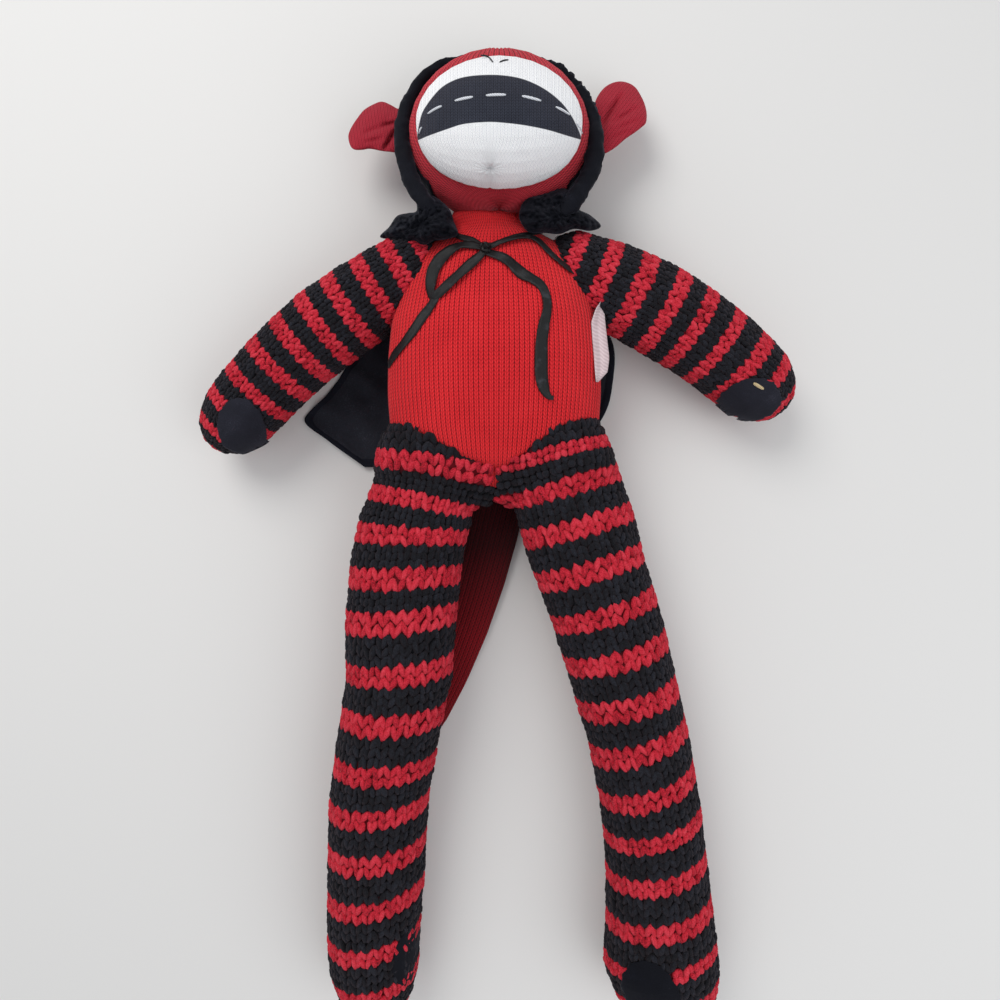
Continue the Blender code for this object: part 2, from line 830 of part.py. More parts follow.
def build_hood(finish, pivot):
    """A shell over the back of the head, and the rolled rim round its opening."""
    across, crown, face = head_axes()
    centre = head_centre()
    form = ellipsoid(centre, head_axes(), head_halves(gap + hood_cloth), 30, 15)
    hood = place("hood", form, finish["black velour"], pivot)
    carve(hood, cutter("hood inside", ellipsoid(centre, head_axes(), head_halves(gap), 30, 15)))
    carve(hood, cutter("hood floor", box((-head_width, 0, -head_width), (head_width, head_width * 2, 0))))
    front = bmesh.new()
    edge = rim_forward - rim_radius - gap
    bmesh.ops.create_cube(front, size=1.0)
    size = head_width * 2
    bmesh.ops.scale(front, verts=front.verts, vec=(size, size, size))
    bmesh.ops.translate(front, verts=front.verts, vec=(0, 0, size / 2))
    turn = Matrix((across, crown, face)).transposed()
    bmesh.ops.transform(front, matrix=turn.to_4x4(), verts=front.verts)
    bmesh.ops.translate(front, verts=front.verts, vec=centre + face * edge)
    carve(hood, cutter("hood opening", front))
    wide = neck_radius * nape_width_share
    far = pivot.y + neck_radius * nape_along_share
    nape = box((head_aside - wide, 0, -head_width), (head_aside + wide, far, head_width))
    carve(hood, cutter("hood nape", nape))
    reach = gap + rim_radius
    rings = []
    steps = 32
    first, last = -math.pi / 2 + rim_opening / 2, 1.5 * math.pi - rim_opening / 2
    for i in range(steps + 1):
        a = first + (last - first) * i / steps
        spot = across * ((head_width / 2 + reach) * math.cos(a))
        spot += crown * ((head_tall / 2 + reach) * math.sin(a))
        along = (-across * (head_width * math.sin(a)) + crown * (head_tall * math.cos(a))).normalized()
        out = along.cross(face)
        radius = rim_radius * min(1.0, rim_end_share + min(i, steps - i) / 3)
        rings.append(section(centre + face * rim_forward + spot, out, face, radius, radius, 8))
    place("hood_rim", skin(rings), finish["black velour"], pivot)


def build_ears(finish):
    """Folded ears: a round root on the hinge line, opening to a flat lobe."""
    across, crown, face = head_axes()
    for side, name in ((-1, "left"), (1, "right")):
        pivot = ear_pivot(side)
        lean = left_ear_turn if side < 0 else right_ear_turn
        out = across * (side * math.cos(lean)) - crown * math.sin(lean)
        height = out.cross(face).normalized()
        rings = []
        for turn in (-60, -30, 0):
            angle = math.radians(turn)
            size = ear_root_radius * math.cos(angle)
            centre = pivot + out * (ear_root_radius * math.sin(angle))
            rings.append(section(centre, height, face, size * ear_root_share, size, 16))
        for along, tall, deep in ear_profile_shares:
            centre = pivot + out * (ear_length * along)
            rings.append(section(centre, height, face, tall * ear_height / 2, deep * ear_thick / 2, 16, 2.2))
        root, tip = pivot - out * ear_root_radius, pivot + out * ear_length
        place(f"{name}_ear", skin(rings, root, tip), finish["red knit"], pivot)


# Tail, cape and trim


def tail_pivot():
    return Vector((tail_aside, torso_forward + tail_in, tail_lift + tail_thick / 2))


def build_tail(finish):
    root = tail_pivot()
    heading = Vector((math.cos(tail_heading), math.sin(tail_heading), 0))
    side = Vector((-heading.y, heading.x, 0))
    rings = []
    half, thick = tail_width / 2, tail_thick / 2
    for turn in (-75, -55, -35, -18, 0):
        angle = math.radians(turn)
        centre = root + heading * (half * math.sin(angle))
        rings.append(section(centre, side, (0, 0, 1), half * math.cos(angle), thick, limb_sides, 2.6))
    for along, wide, deep in tail_shares:
        bend = side * (tail_bow * math.sin(math.pi * along))
        drop = Vector((0, 0, thick * (deep - 1)))
        centre = root + heading * (tail_length * along) + bend + drop
        rings.append(section(centre, side, (0, 0, 1), half * wide, thick * deep, limb_sides, 2.2))
    tip = root + heading * tail_length - Vector((0, 0, thick * (1 - tail_shares[-1][2])))
    place("tail", skin(rings, root - heading * half, tip), finish["red knit"], root)


def smooth(points, steps):
    """A smooth curve through points, by the Catmull-Rom rule."""
    pts = [Vector(p) for p in points]
    pts = [pts[0] * 2 - pts[1], *pts, pts[-1] * 2 - pts[-2]]
    out = []
    for k in range(1, len(pts) - 2):
        a, b, c, d = pts[k - 1], pts[k], pts[k + 1], pts[k + 2]
        for i in range(steps):
            t = i / steps
            bend = (2 * a - 5 * b + 4 * c - d) * t**2 + (3 * b - a - 3 * c + d) * t**3
            out.append(0.5 * (2 * b + (c - a) * t + bend))
    out.append(pts[-2])
    return out


def cape_top():
    return torso_forward + torso_length - cape_in


def cape_edge(shares, v):
    return cape_half * np.interp(v, [s[0] for s in shares], [s[1] for s in shares])


def build_cape(finish):
    """A flat panel with soft folds fanned at its free lower corner."""
    across, down = 22, 16
    bm = bmesh.new()
    sheets = []
    for level in (0, 1):
        sheet = []
        for j in range(down + 1):
            row = []
            for i in range(across + 1):
                u = i / across
                left_v = cape_left_shares[-1][0] * j / down
                right_v = cape_right_shares[-1][0] * j / down
                left = Vector((cape_edge(cape_left_shares, left_v), cape_top() - left_v * cape_drop, 0))
                right = Vector((cape_edge(cape_right_shares, right_v), cape_top() - right_v * cape_drop, 0))
                p = left.lerp(right, u)
                p.z = cape_cloth * level + cape_fold(p)
                row.append(bm.verts.new(p))
            sheet.append(row)
        sheets.append(sheet)
    for sheet in sheets:
        for j in range(down):
            for i in range(across):
                bm.faces.new((sheet[j][i], sheet[j][i + 1], sheet[j + 1][i + 1], sheet[j + 1][i]))
    low, high = sheets
    for j in range(down):
        for i in (0, across):
            bm.faces.new((low[j][i], low[j + 1][i], high[j + 1][i], high[j][i]))
    for i in range(across):
        for j in (0, down):
            bm.faces.new((low[j][i], low[j][i + 1], high[j][i + 1], high[j][i]))
    place("cape", bm, finish["black velour"], (0, cape_top(), cape_cloth / 2))


def cape_fold(p):
    """Height of the folds: none under the body, waves towards the free left corner."""
    start = fold_start_share * cape_half
    out = max(0.0, -p.x - start)
    corner = max(-s[1] for s in cape_left_shares) * cape_half - start
    share = min(out / corner, 1.0)
    lane = (p.y - cape_top()) / cape_drop + share * fold_skew_share
    swell = math.sin(math.pi * min(share * fold_fill_share, 1.0))
    return fold_height * swell**2 * math.sin(fold_count * math.pi * lane) ** 2


def bow_point(share, lift):
    x = bow_aside + share[0] * bow_span
    y = torso_forward + bow_along_share * torso_length + share[1] * bow_span
    return x, y, lift


def band(shares, layer):
    """A ribbon laid on the chest, through points given as shares of the bow's span."""
    line = smooth([bow_point(s, 0) for s in shares], 5)
    base = gap * 2 + layer * (ribbon_thick + gap)
    rows = []
    for k, p in enumerate(line):
        ahead, behind = line[min(k + 1, len(line) - 1)], line[max(k - 1, 0)]
        run = (ahead - behind).normalized()
        side = Vector((-run.y, run.x, 0)) * (ribbon_width / 2)
        ends = [chest_height((p + side * sign).x, (p + side * sign).y) for sign in (-1, 1)]
        crown = max(0.0, chest_height(p.x, p.y) - sum(ends) / 2)
        corners = []
        for sign, level in ((-1, 0), (1, 0), (1, 1), (-1, 1)):
            q = p + side * sign
            z = ends[(sign + 1) // 2] + crown * ribbon_crown_share + base + level * ribbon_thick
            corners.append(Vector((q.x, q.y, z)))
        rows.append(corners)
    return skin(rows)


def build_ribbon(finish):
    satin = finish["black satin"]
    place("left_ribbon_tail", band(left_tail_shares, 0), satin)
    place("right_ribbon_tail", band(right_tail_shares, 0), satin)
    place("left_bow_loop", band(left_loop_shares, 1), satin)
    place("right_bow_loop", band(right_loop_shares, 1), satin)
    place("left_neck_ribbon", band(left_neck_shares, 0), satin)
    place("right_neck_ribbon", band(right_neck_shares, 0), satin)
    x, y, _ = bow_point((0, 0), 0)
    half = knot_size / 2
    halves = [half * share for share in knot_shares]
    centre = (x, y, chest_height(x, y) + halves[2] + 2 * gap)
    knot = ellipsoid(centre, ((1, 0, 0), (0, 1, 0), (0, 0, 1)), halves, 16, 8)
    place("bow_knot", knot, satin)


def shoulder_top(x, y):
    """Height of the chest or of the arm's root, whichever is higher under a ruffle."""
    heights = []
    for across in (-0.5, 0, 0.5):
        at = y + across * ruffle_width
        heights.append(chest_height(x, at))
        root = shoulder_centre(math.copysign(1, x))
        away = (x - root.x) ** 2 + (at - root.y) ** 2
        reach = (arm_root_radius + seam_play) ** 2
        if away < reach:
            heights.append(root.z + math.sqrt(reach - away))
    return max(heights)


def build_ruffles(finish):
    """The gathered neck edge of the cape, a pleated roll on each shoulder."""
    y = torso_forward + ruffle_along_share * torso_length
    for side, name in ((-1, "left"), (1, "right")):
        rings = []
        steps = ruffle_pleats * 3
        for i in range(1, steps):
            share = i / steps
            x = side * (ruffle_spread + ruffle_length * (share - 0.5))
            crimp = 1 - ruffle_crimp_share * math.cos(2 * math.pi * ruffle_pleats * share)
            ends = min(1.0, 4 * share, 4 * (1 - share)) ** 0.5
            thick = ruffle_thick / 2 * crimp * ends
            z = shoulder_top(x, y) + ruffle_thick / 2
            wide = ruffle_width / 2 * crimp * ends
            rings.append(section((x, y, z), (0, 1, 0), (0, 0, 1), wide, thick, 8))
        first = rings[0][0].lerp(rings[0][4], 0.5)
        last = rings[-1][0].lerp(rings[-1][4], 0.5)
        step = Vector((side * ruffle_length / steps, 0, 0))
        place(f"{name}_collar_ruffle", skin(rings, first - step, last + step), finish["black velour"])


def build_tag(finish):
    middle = torso_forward + tag_along_share * torso_length
    half, low, high = torso_section(tag_along_share)
    height = body_lift() + tag_height_share * torso_depth
    share = abs(2 * (height - (low + high) / 2) / (high - low))
    edge = half * (1 - share**torso_squareness) ** (1 / torso_squareness)
    root = Vector((edge + 2 * gap, middle, height))
    out = Vector((math.cos(tag_lean), 0, math.sin(tag_lean)))
    normal = Vector((math.sin(tag_lean), 0, -math.cos(tag_lean)))
    rings = []
    for end in (-0.5, 0.5):
        y = Vector((0, tag_length * end, 0))
        corners = [out * (tag_width * a) + normal * (tag_thick * b) for a, b in tag_shares]
        rings.append([root + y + corner for corner in corners])
    place("care_tag", skin(rings), finish["white tape"])


def main():
    for obj in list(bpy.data.objects):
        bpy.data.objects.remove(obj, do_unlink=True)
    finish = finishes()
    build_body(finish)
    build_arms(finish)
    build_legs(finish)
    build_head(finish)
    build_ears(finish)
    build_tail(finish)
    build_cape(finish)
    build_ribbon(finish)
    build_ruffles(finish)
    build_tag(finish)


main()
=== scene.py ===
import math

import bpy
import bmesh
import numpy as np
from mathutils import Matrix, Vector, noise
from mathutils.bvhtree import BVHTree


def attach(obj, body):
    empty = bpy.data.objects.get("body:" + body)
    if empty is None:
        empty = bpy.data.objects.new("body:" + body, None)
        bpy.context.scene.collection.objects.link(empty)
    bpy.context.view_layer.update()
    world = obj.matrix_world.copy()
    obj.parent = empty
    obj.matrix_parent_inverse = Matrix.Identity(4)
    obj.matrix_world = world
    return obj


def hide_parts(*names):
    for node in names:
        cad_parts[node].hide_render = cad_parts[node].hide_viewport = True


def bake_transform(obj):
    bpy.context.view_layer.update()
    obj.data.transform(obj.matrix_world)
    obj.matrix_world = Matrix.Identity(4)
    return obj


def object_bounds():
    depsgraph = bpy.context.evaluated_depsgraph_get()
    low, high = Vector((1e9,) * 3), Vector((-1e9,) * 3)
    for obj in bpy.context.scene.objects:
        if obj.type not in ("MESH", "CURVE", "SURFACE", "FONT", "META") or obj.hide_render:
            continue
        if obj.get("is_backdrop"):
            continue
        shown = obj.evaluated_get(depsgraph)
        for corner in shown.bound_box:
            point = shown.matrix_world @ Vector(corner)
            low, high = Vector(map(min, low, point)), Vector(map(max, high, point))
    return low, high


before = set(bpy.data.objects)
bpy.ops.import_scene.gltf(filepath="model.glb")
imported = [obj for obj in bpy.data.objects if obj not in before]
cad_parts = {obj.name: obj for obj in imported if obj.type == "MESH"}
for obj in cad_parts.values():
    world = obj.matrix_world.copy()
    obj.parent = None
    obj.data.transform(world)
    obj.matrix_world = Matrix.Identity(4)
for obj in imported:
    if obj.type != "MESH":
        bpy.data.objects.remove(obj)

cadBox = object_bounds()
scene = bpy.context.scene
mm = 0.001

# Camera straight above the doll, and the room

viewSetup = {
    "camera": (0.004, -0.090, 0.567),
    "lens": 26.17,
    "sensor": 36.0,
    "clips": (0.01, 20.0),
    "focal": 727,
    "padFocal": 726.9,
    "middle": 500,
    "floorSize": 3.0,
    "floorColour": (0.76, 0.75, 0.735),
    "worldColour": (0.95, 0.97, 1.0),
    "worldLight": 0.62,
    "worldSeen": 0.80,
    "lamps": [
        # place, aim, size, watts, colour
        ((-0.55, 0.75, 1.10), (0.0, -0.05, 0.0), 0.9, 9.0, (1.0, 0.99, 0.97)),
        ((0.75, -0.55, 1.00), (0.0, -0.10, 0.0), 1.1, 4.0, (0.96, 0.98, 1.0)),
    ],
}
cameraSeat = Vector(viewSetup["camera"])
focal, middle = viewSetup["focal"], viewSetup["middle"]


def placed(name, data, place=(0, 0, 0)):
    made = bpy.data.objects.new(name, data)
    made.location = place
    scene.collection.objects.link(made)
    return made


def setUpView(facts):
    camera = bpy.data.cameras.new("photoCamera")
    camera.lens, camera.sensor_width, camera.sensor_fit = facts["lens"], facts["sensor"], "HORIZONTAL"
    camera.clip_start, camera.clip_end = facts["clips"]
    scene.camera = placed("photoCamera", camera, facts["camera"])
    for number, (place, aim, size, watts, colour) in enumerate(facts["lamps"]):
        lamp = bpy.data.lights.new(f"softLamp{number}", "AREA")
        lamp.shape, lamp.size, lamp.energy, lamp.color = "DISK", size, watts, colour
        stand = placed(lamp.name, lamp, place)
        stand.rotation_euler = (Vector(place) - Vector(aim)).to_track_quat("Z", "Y").to_euler()
    scene.world = bpy.data.worlds.new("studio")
    scene.world.use_nodes = True
    tree = scene.world.node_tree
    light, seen = tree.nodes["Background"], tree.nodes.new("ShaderNodeBackground")
    for node, colour, strength in ((light, facts["worldColour"], facts["worldLight"]), (seen, (1, 1, 1), facts["worldSeen"])):
        node.inputs["Color"].default_value = (*colour, 1)
        node.inputs["Strength"].default_value = strength
    path, mix = tree.nodes.new("ShaderNodeLightPath"), tree.nodes.new("ShaderNodeMixShader")
    for out, into in ((path.outputs["Is Camera Ray"], mix.inputs[0]), (light.outputs[0], mix.inputs[1]),
                      (seen.outputs[0], mix.inputs[2]), (mix.outputs[0], tree.nodes["World Output"].inputs[0])):
        tree.links.new(out, into)
    scene.view_settings.view_transform = "Standard"


setUpView(viewSetup)
print("camera and lamps are set")


# Materials: a short way to add nodes and join them


class Finish:
    def __init__(self, name, roughness=0.85, specular=0.3):
        self.material = bpy.data.materials.new(name)
        self.material.use_nodes = True
        self.tree = self.material.node_tree
        self.shader = self.tree.nodes["Principled BSDF"]
        self.setShader({"Roughness": roughness, "Specular IOR Level": specular})

    def setShader(self, facts):
        for key, value in facts.items():
            self.shader.inputs[key].default_value = value

    def node(self, kind, facts=(), **links):
        made = self.tree.nodes.new("ShaderNode" + kind)
        for key, value in dict(facts).items():
            setattr(made, key, value)
        for socket, value in links.items():
            self.feed(made, int(socket[1:]) if socket[1:].isdigit() else socket, value)
        return made

    def feed(self, made, socket, value):
        if isinstance(value, bpy.types.NodeSocket):
            self.tree.links.new(value, made.inputs[socket])
        elif value is not None:
            made.inputs[socket].default_value = value

    def math(self, work, first, second=None, third=None, clamp=False):
        return self.node("Math", {"operation": work, "use_clamp": clamp}, _0=first, _1=second, _2=third).outputs[0]

    def total(self, *parts, clamp=True):
        # the sum of (value, weight) pairs
        level = self.math("MULTIPLY", *parts[0])
        for part in parts[1:]:
            level = self.math("ADD", level, self.math("MULTIPLY", *part), clamp=clamp and part is parts[-1])
        return level

    def coords(self):
        return self.node("TexCoord").outputs["Object"]

    def noise(self, scale, detail=2.0, roughness=0.5):
        return self.node("TexNoise", (), Vector=self.coords(), Scale=scale, Detail=detail, Roughness=roughness).outputs["Fac"]

    def bands(self, direction, scale, distortion, place=None):
        return self.node("TexWave", {"wave_type": "BANDS", "bands_direction": direction}, Vector=self.coords() if place is None else place,
                         Scale=scale, Distortion=distortion).outputs["Fac"]

    def attribute(self, name):
        return self.node("Attribute", {"attribute_name": name}).outputs["Fac"]

    def knitMap(self):
        return self.node("UVMap", {"uv_map": "knitMap"}).outputs[0]

    def ramp(self, value, stops):
        made = self.node("ValToRGB", (), _0=value)
        ramp = made.color_ramp
        while len(ramp.elements) > 1:
            ramp.elements.remove(ramp.elements[0])
        for number, (place, colour) in enumerate(stops):
            spot = ramp.elements[0] if number == 0 else ramp.elements.new(place)
            spot.position = place
            spot.color = (*colour, 1)
        return made.outputs[0]

    def blend(self, share, first, second):
        made = self.node("Mix", {"data_type": "RGBA"}, _0=share)
        for socket, value in ((6, first), (7, second)):
            self.feed(made, socket, (*value, 1) if isinstance(value, tuple) else value)
        return made.outputs[2]

    def bump(self, height, distance, strength=1.0):
        return self.node("Bump", (), Strength=strength, Distance=distance, Height=height).outputs["Normal"]

    def finish(self, colour, normal=None, sheen=0.0, sheenRoughness=0.5, sheenTint=(1, 1, 1)):
        self.feed(self.shader, "Base Color", (*colour, 1) if isinstance(colour, tuple) else colour)
        self.feed(self.shader, "Normal", normal)
        self.setShader({"Sheen Weight": sheen, "Sheen Roughness": sheenRoughness, "Sheen Tint": (*sheenTint, 1)})
        return self.material


def dress(piece, rider, nodes, slotName, material=None):
    # what every piece needs: its material, body and solids
    if material:
        piece.data.materials.append(material)
    if rider:
        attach(piece, rider)
    if nodes:
        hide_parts(*nodes)
    print(piece.name, "is made")


# Surfaces are laid on the CAD solids: rays from outside find the outermost point


def treeFrom(*meshes, grid=None):
    # the rings' skin with closed ends, and the meshes
    points, faces = [], []
    if grid is not None:
        rows, across = grid.shape[:2]
        points = [tuple(point) for point in grid.reshape(-1, 3)]
        faces = [[r * across + c, r * across + (c + 1) % across, (r + 1) * across + (c + 1) % across, (r + 1) * across + c]
                 for r in range(rows - 1) for c in range(across)]
        faces += [list(range(across)), [(rows - 1) * across + c for c in range(across)]]
    for mesh in meshes:
        start = len(points)
        points += [tuple(corner.co) for corner in mesh.vertices]
        faces += [[start + index for index in face.vertices] for face in mesh.polygons]
    return BVHTree.FromPolygons(points, faces)


def treeOf(*names, grid=None):
    return treeFrom(*(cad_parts[name].data for name in names), grid=grid)


def outermost(tree, centre, direction, spare, reach=0.25):
    hit = tree.ray_cast(centre + direction * reach, -direction, reach)
    return hit[0] if hit[0] is not None else centre + direction * spare


def fromAbove(tree, x, y, height=0.3):
    return tree.ray_cast(Vector((x, y, height)), Vector((0, 0, -1)))[0]


def photoRay(px, py):
    return Vector(((px - middle) / focal, (middle - py) / focal, -1.0))


def photoPlace(point):
    # photo place of a point in px
    x, y, z = point
    reach = focal * mm / (viewSetup["camera"][2] - z)
    return middle + (x - viewSetup["camera"][0]) * reach / mm, middle - (y - viewSetup["camera"][1]) * reach / mm


def spotAt(px, py, z):
    share = (viewSetup["camera"][2] - z) / (viewSetup["padFocal"] * mm)
    x, y = viewSetup["camera"][:2]
    return Vector((x + (px - middle) * mm * share, y + (middle - py) * mm * share, z))


def surfaceAt(px, py, tree, fallback):
    # the first point that the camera sees at a photo place, and the way out of it
    spot, out, _, _ = tree.ray_cast(cameraSeat, photoRay(px, py).normalized(), 1.0)
    if spot is None:
        return spotAt(px, py, fallback), Vector((0, 0, 1))
    return spot, out if out.z > 0 else -out


def polyAt(points, place):
    for (x0, y0), (x1, y1) in zip(points, points[1:]):
        if place <= x1:
            return y0 + (y1 - y0) * (place - x0) / (x1 - x0)
    (x0, y0), (x1, y1) = points[-2:]
    return y1 + (y1 - y0) * (place - x1) / (x1 - x0)


def smoothShare(value, low, high):
    share = min(max((value - low) / (high - low), 0.0), 1.0)
    return share * share * (3 - 2 * share)


def roughAt(scale, x, y, z):
    return noise.noise(Vector((x * scale, y * scale, z)))


def runOf(points):
    return np.concatenate([[0.0], np.cumsum(np.linalg.norm(np.diff(points, axis=0), axis=1))])


def readEach(at, run, points):
    return np.stack([np.interp(at, run, points[:, axis]) for axis in range(points.shape[1])], axis=1)


def gridMesh(name, grid, uvs=None, poles=True):
    # rings of points joined into a skin, with a pole at each end; uvs is (across, along) for one step
    grid = np.asarray(grid, dtype=float)
    rows, across = grid.shape[:2]
    row, step = np.meshgrid(np.arange(rows - 1), np.arange(across), indexing="ij")
    other = (step + 1) % across
    quads = np.stack([row * across + step, (row + 1) * across + step, (row + 1) * across + other, row * across + other], -1)
    faces = quads.reshape(-1, 4).tolist()
    maps = np.stack([np.stack(place, -1) for place in ((step, row), (step, row + 1), (step + 1, row + 1), (step + 1, row))], 2)
    maps = maps.reshape(-1, 2)
    corners = grid.reshape(-1, 3)
    if poles:
        first, last = len(corners), len(corners) + 1
        corners = np.concatenate([corners, grid[0].mean(axis=0)[None], grid[-1].mean(axis=0)[None]])
        ring = np.arange(across)
        after, end, none = (ring + 1) % across, (rows - 1) * across, ring * 0
        faces += np.stack([none + first, ring, after], -1).tolist()
        faces += np.stack([none + last, end + after, end + ring], -1).tolist()
        for places in (((ring + 0.5, none), (ring, none), (ring + 1, none)),
                       ((ring + 0.5, none + rows), (ring + 1, none + rows - 1), (ring, none + rows - 1))):
            maps = np.concatenate([maps, np.stack([np.stack(place, -1) for place in places], 1).reshape(-1, 2)])
    mesh = bpy.data.meshes.new(name)
    mesh.from_pydata(corners.tolist(), [], faces)
    if uvs:
        mesh.uv_layers.new(name="knitMap").data.foreach_set("uv", (maps * np.array(uvs)).astype(np.float32).ravel())
    return outFacing(placed(name, mesh))


def outFacing(made, caps=()):
    # faces point out of the closed form, which the caps close
    work = bmesh.new()
    work.from_mesh(made.data)
    work.verts.ensure_lookup_table()
    for cap in caps:
        work.faces.new([work.verts[index] for index in cap])
    bmesh.ops.recalc_face_normals(work, faces=work.faces)
    work.to_mesh(made.data)
    work.free()
    made.data.polygons.foreach_set("use_smooth", [True] * len(made.data.polygons))
    made.data.update()
    return made


class Limb:
    # A tube round a centre path with a round cap at each end; s runs along, angle 0 is up
    def __init__(self, tree, path, rootRadius, tipRadius, wall=None, upperTree=None, upperFrom=None):
        self.tree, self.upperTree, self.upperFrom = tree, upperTree, upperFrom
        self.path = [Vector(point) for point in path]
        self.rootRadius, self.tipRadius, self.wall = rootRadius, tipRadius, wall
        self.runs = [0.0]
        for first, second in zip(self.path, self.path[1:]):
            self.runs.append(self.runs[-1] + (second - first).length)
        self.length = self.runs[-1]

    def centre(self, s):
        s = min(max(s, 0.0), self.length)
        spot = int(np.searchsorted(self.runs, s, side="right")) - 1
        spot = min(max(spot, 0), len(self.path) - 2)
        share = (s - self.runs[spot]) / (self.runs[spot + 1] - self.runs[spot])
        return self.path[spot].lerp(self.path[spot + 1], share)

    def along(self, s, reach=0.012):
        s = min(max(s, 0.0), self.length)
        return (self.centre(s + reach) - self.centre(s - reach)).normalized()

    def point(self, s, angle):
        along = self.along(s)
        side = along.cross(Vector((0, 0, 1))).normalized()
        round_ = side.cross(along) * math.cos(angle) + side * math.sin(angle)
        tilt = 0.0
        if s < 0 and self.rootRadius:
            tilt = max(s / self.rootRadius, -math.pi / 2)
        if s > self.length:
            tilt = min((s - self.length) / self.tipRadius, math.pi / 2)
        ray = round_ * math.cos(tilt) + along * math.sin(tilt)
        centre = self.centre(s)
        upper = self.upperTree is not None and centre.y > self.upperFrom
        found = outermost(self.upperTree if upper else self.tree, centre, ray, self.tipRadius)
        return self.wall(centre, ray, found) if self.wall else found


def limbGrid(limb, low, high, step, across, bend=None, closer=4):
    # closer rays than points, then the same number of even steps round every ring
    rows = int(round((high - low) / step)) + 1
    grid = []
    for row in range(rows):
        s = low + (high - low) * row / (rows - 1)
        ring = []
        for number in range(across * closer):
            angle = 2 * math.pi * number / (across * closer)
            ring.append(tuple(limb.point(s + (bend(s, angle) if bend else 0.0), angle)))
        ring = np.array(ring + ring[:1])
        run = runOf(ring)
        grid.append(readEach(run[-1] * np.arange(across) / across, run, ring))
    return np.array(grid)


def relax(grid, turns, alongShare=0.25, roundShare=0.25):
    for _ in range(turns):
        near = np.concatenate([grid[:1], grid[:-1]]), np.concatenate([grid[1:], grid[-1:]])
        grid = grid + alongShare * ((near[0] + near[1]) / 2 - grid)
        grid = grid + roundShare * ((np.roll(grid, 1, 1) + np.roll(grid, -1, 1)) / 2 - grid)
    return grid


def gridNormals(grid):
    down = np.gradient(grid, axis=0)
    round_ = np.roll(grid, -1, 1) - np.roll(grid, 1, 1)
    normal = np.cross(down, round_)
    length = np.linalg.norm(normal, axis=2, keepdims=True)
    return normal / np.maximum(length, 1e-12)


def outward(grid, middle=None):
    normals = gridNormals(grid)
    away = grid - (grid.reshape(-1, 3).mean(axis=0) if middle is None else middle)
    return normals if (away * normals).sum() > 0 else -normals


def ridges(across, wales):
    return np.cos(2 * np.pi * np.arange(across) / across * wales)


def readGrid(grid, row, column):
    # smooth reading between a grid's points; columns go round
    rows, across = grid.shape[:2]
    row = np.clip(row, 0, rows - 1.001)
    r0 = np.floor(row).astype(int)
    c0 = np.floor(column).astype(int)
    fr, fc = (row - r0)[..., None], (column - c0)[..., None]
    c0, c1 = c0 % across, (c0 + 1) % across
    top = grid[r0, c0] * (1 - fc) + grid[r0, c1] * fc
    low = grid[r0 + 1, c0] * (1 - fc) + grid[r0 + 1, c1] * fc
    return top * (1 - fr) + low * fr


def roundCurve(points, count, closed=True):
    # even steps on a smooth curve through the points
    points = np.array(points, dtype=float)
    if closed:
        a, b, c, d = (np.roll(points, -step, 0) for step in (-1, 0, 1, 2))
    else:
        spots = np.arange(len(points) - 1)
        a, b, c, d = (points[np.clip(spots + step, 0, len(points) - 1)] for step in (-1, 0, 1, 2))
    t = (np.arange(16) / 16)[None, :, None]
    a, b, c, d = (part[:, None] for part in (a, b, c, d))
    bend = (2 * a - 5 * b + 4 * c - d) * t**2 + (3 * b - a - 3 * c + d) * t**3
    fine = (0.5 * (2 * b + (c - a) * t + bend)).reshape(-1, points.shape[1])
    fine = np.concatenate([fine, points[:1] if closed else points[-1:]])
    run = runOf(fine)
    return readEach(run[-1] * np.arange(count) / (count if closed else count - 1), run, fine)


def curveAt(points, place):
    # smooth curve through the points, read as height over place
    xs, ys = zip(*points)
    place = min(max(place, xs[0]), xs[-1])
    spot = min(max(int(np.searchsorted(xs, place)) - 1, 0), len(xs) - 2)

    def slope(index):
        low, high = max(index - 1, 0), min(index + 1, len(xs) - 1)
        return (ys[high] - ys[low]) / (xs[high] - xs[low])

    wide = xs[spot + 1] - xs[spot]
    t = (place - xs[spot]) / wide
    a, b, c, d = ys[spot], ys[spot + 1], slope(spot) * wide, slope(spot + 1) * wide
    return a * (2 * t**3 - 3 * t**2 + 1) + c * (t**3 - 2 * t**2 + t) + b * (3 * t**2 - 2 * t**3) + d * (t**3 - t**2)


def joinPieces(name, pieces):
    bpy.ops.object.select_all(action="DESELECT")
    for piece in pieces:
        piece.select_set(True)
    bpy.context.view_layer.objects.active = pieces[0]
    bpy.ops.object.join()
    made = bpy.context.view_layer.objects.active
    made.name = name
    return made


# The chunky yarn of the limbs: one lobe for each half stitch, laid out by Geometry Nodes


def knitYarn(name):
    cloth = Finish(name, 0.95)
    fibre = cloth.noise(1100.0, 3.0, 0.7)
    level = cloth.total((fibre, 0.95), (cloth.noise(160.0), 0.2), (cloth.attribute("tone"), 0.22), (1.0, -0.12))
    red = cloth.ramp(level, [(0.30, (0.10, 0.000, 0.004)), (0.52, (0.56, 0.012, 0.030)), (0.85, (0.78, 0.060, 0.090))])
    black = cloth.ramp(level, [(0.30, (0.0012, 0.0012, 0.0022)), (0.55, (0.0058, 0.0064, 0.0100)), (0.88, (0.022, 0.025, 0.036))])
    colour = cloth.blend(cloth.attribute("shade"), red, black)
    return cloth.finish(colour, cloth.bump(fibre, 0.0010, 0.8), 0.05, 0.45, (1.0, 0.55, 0.62))


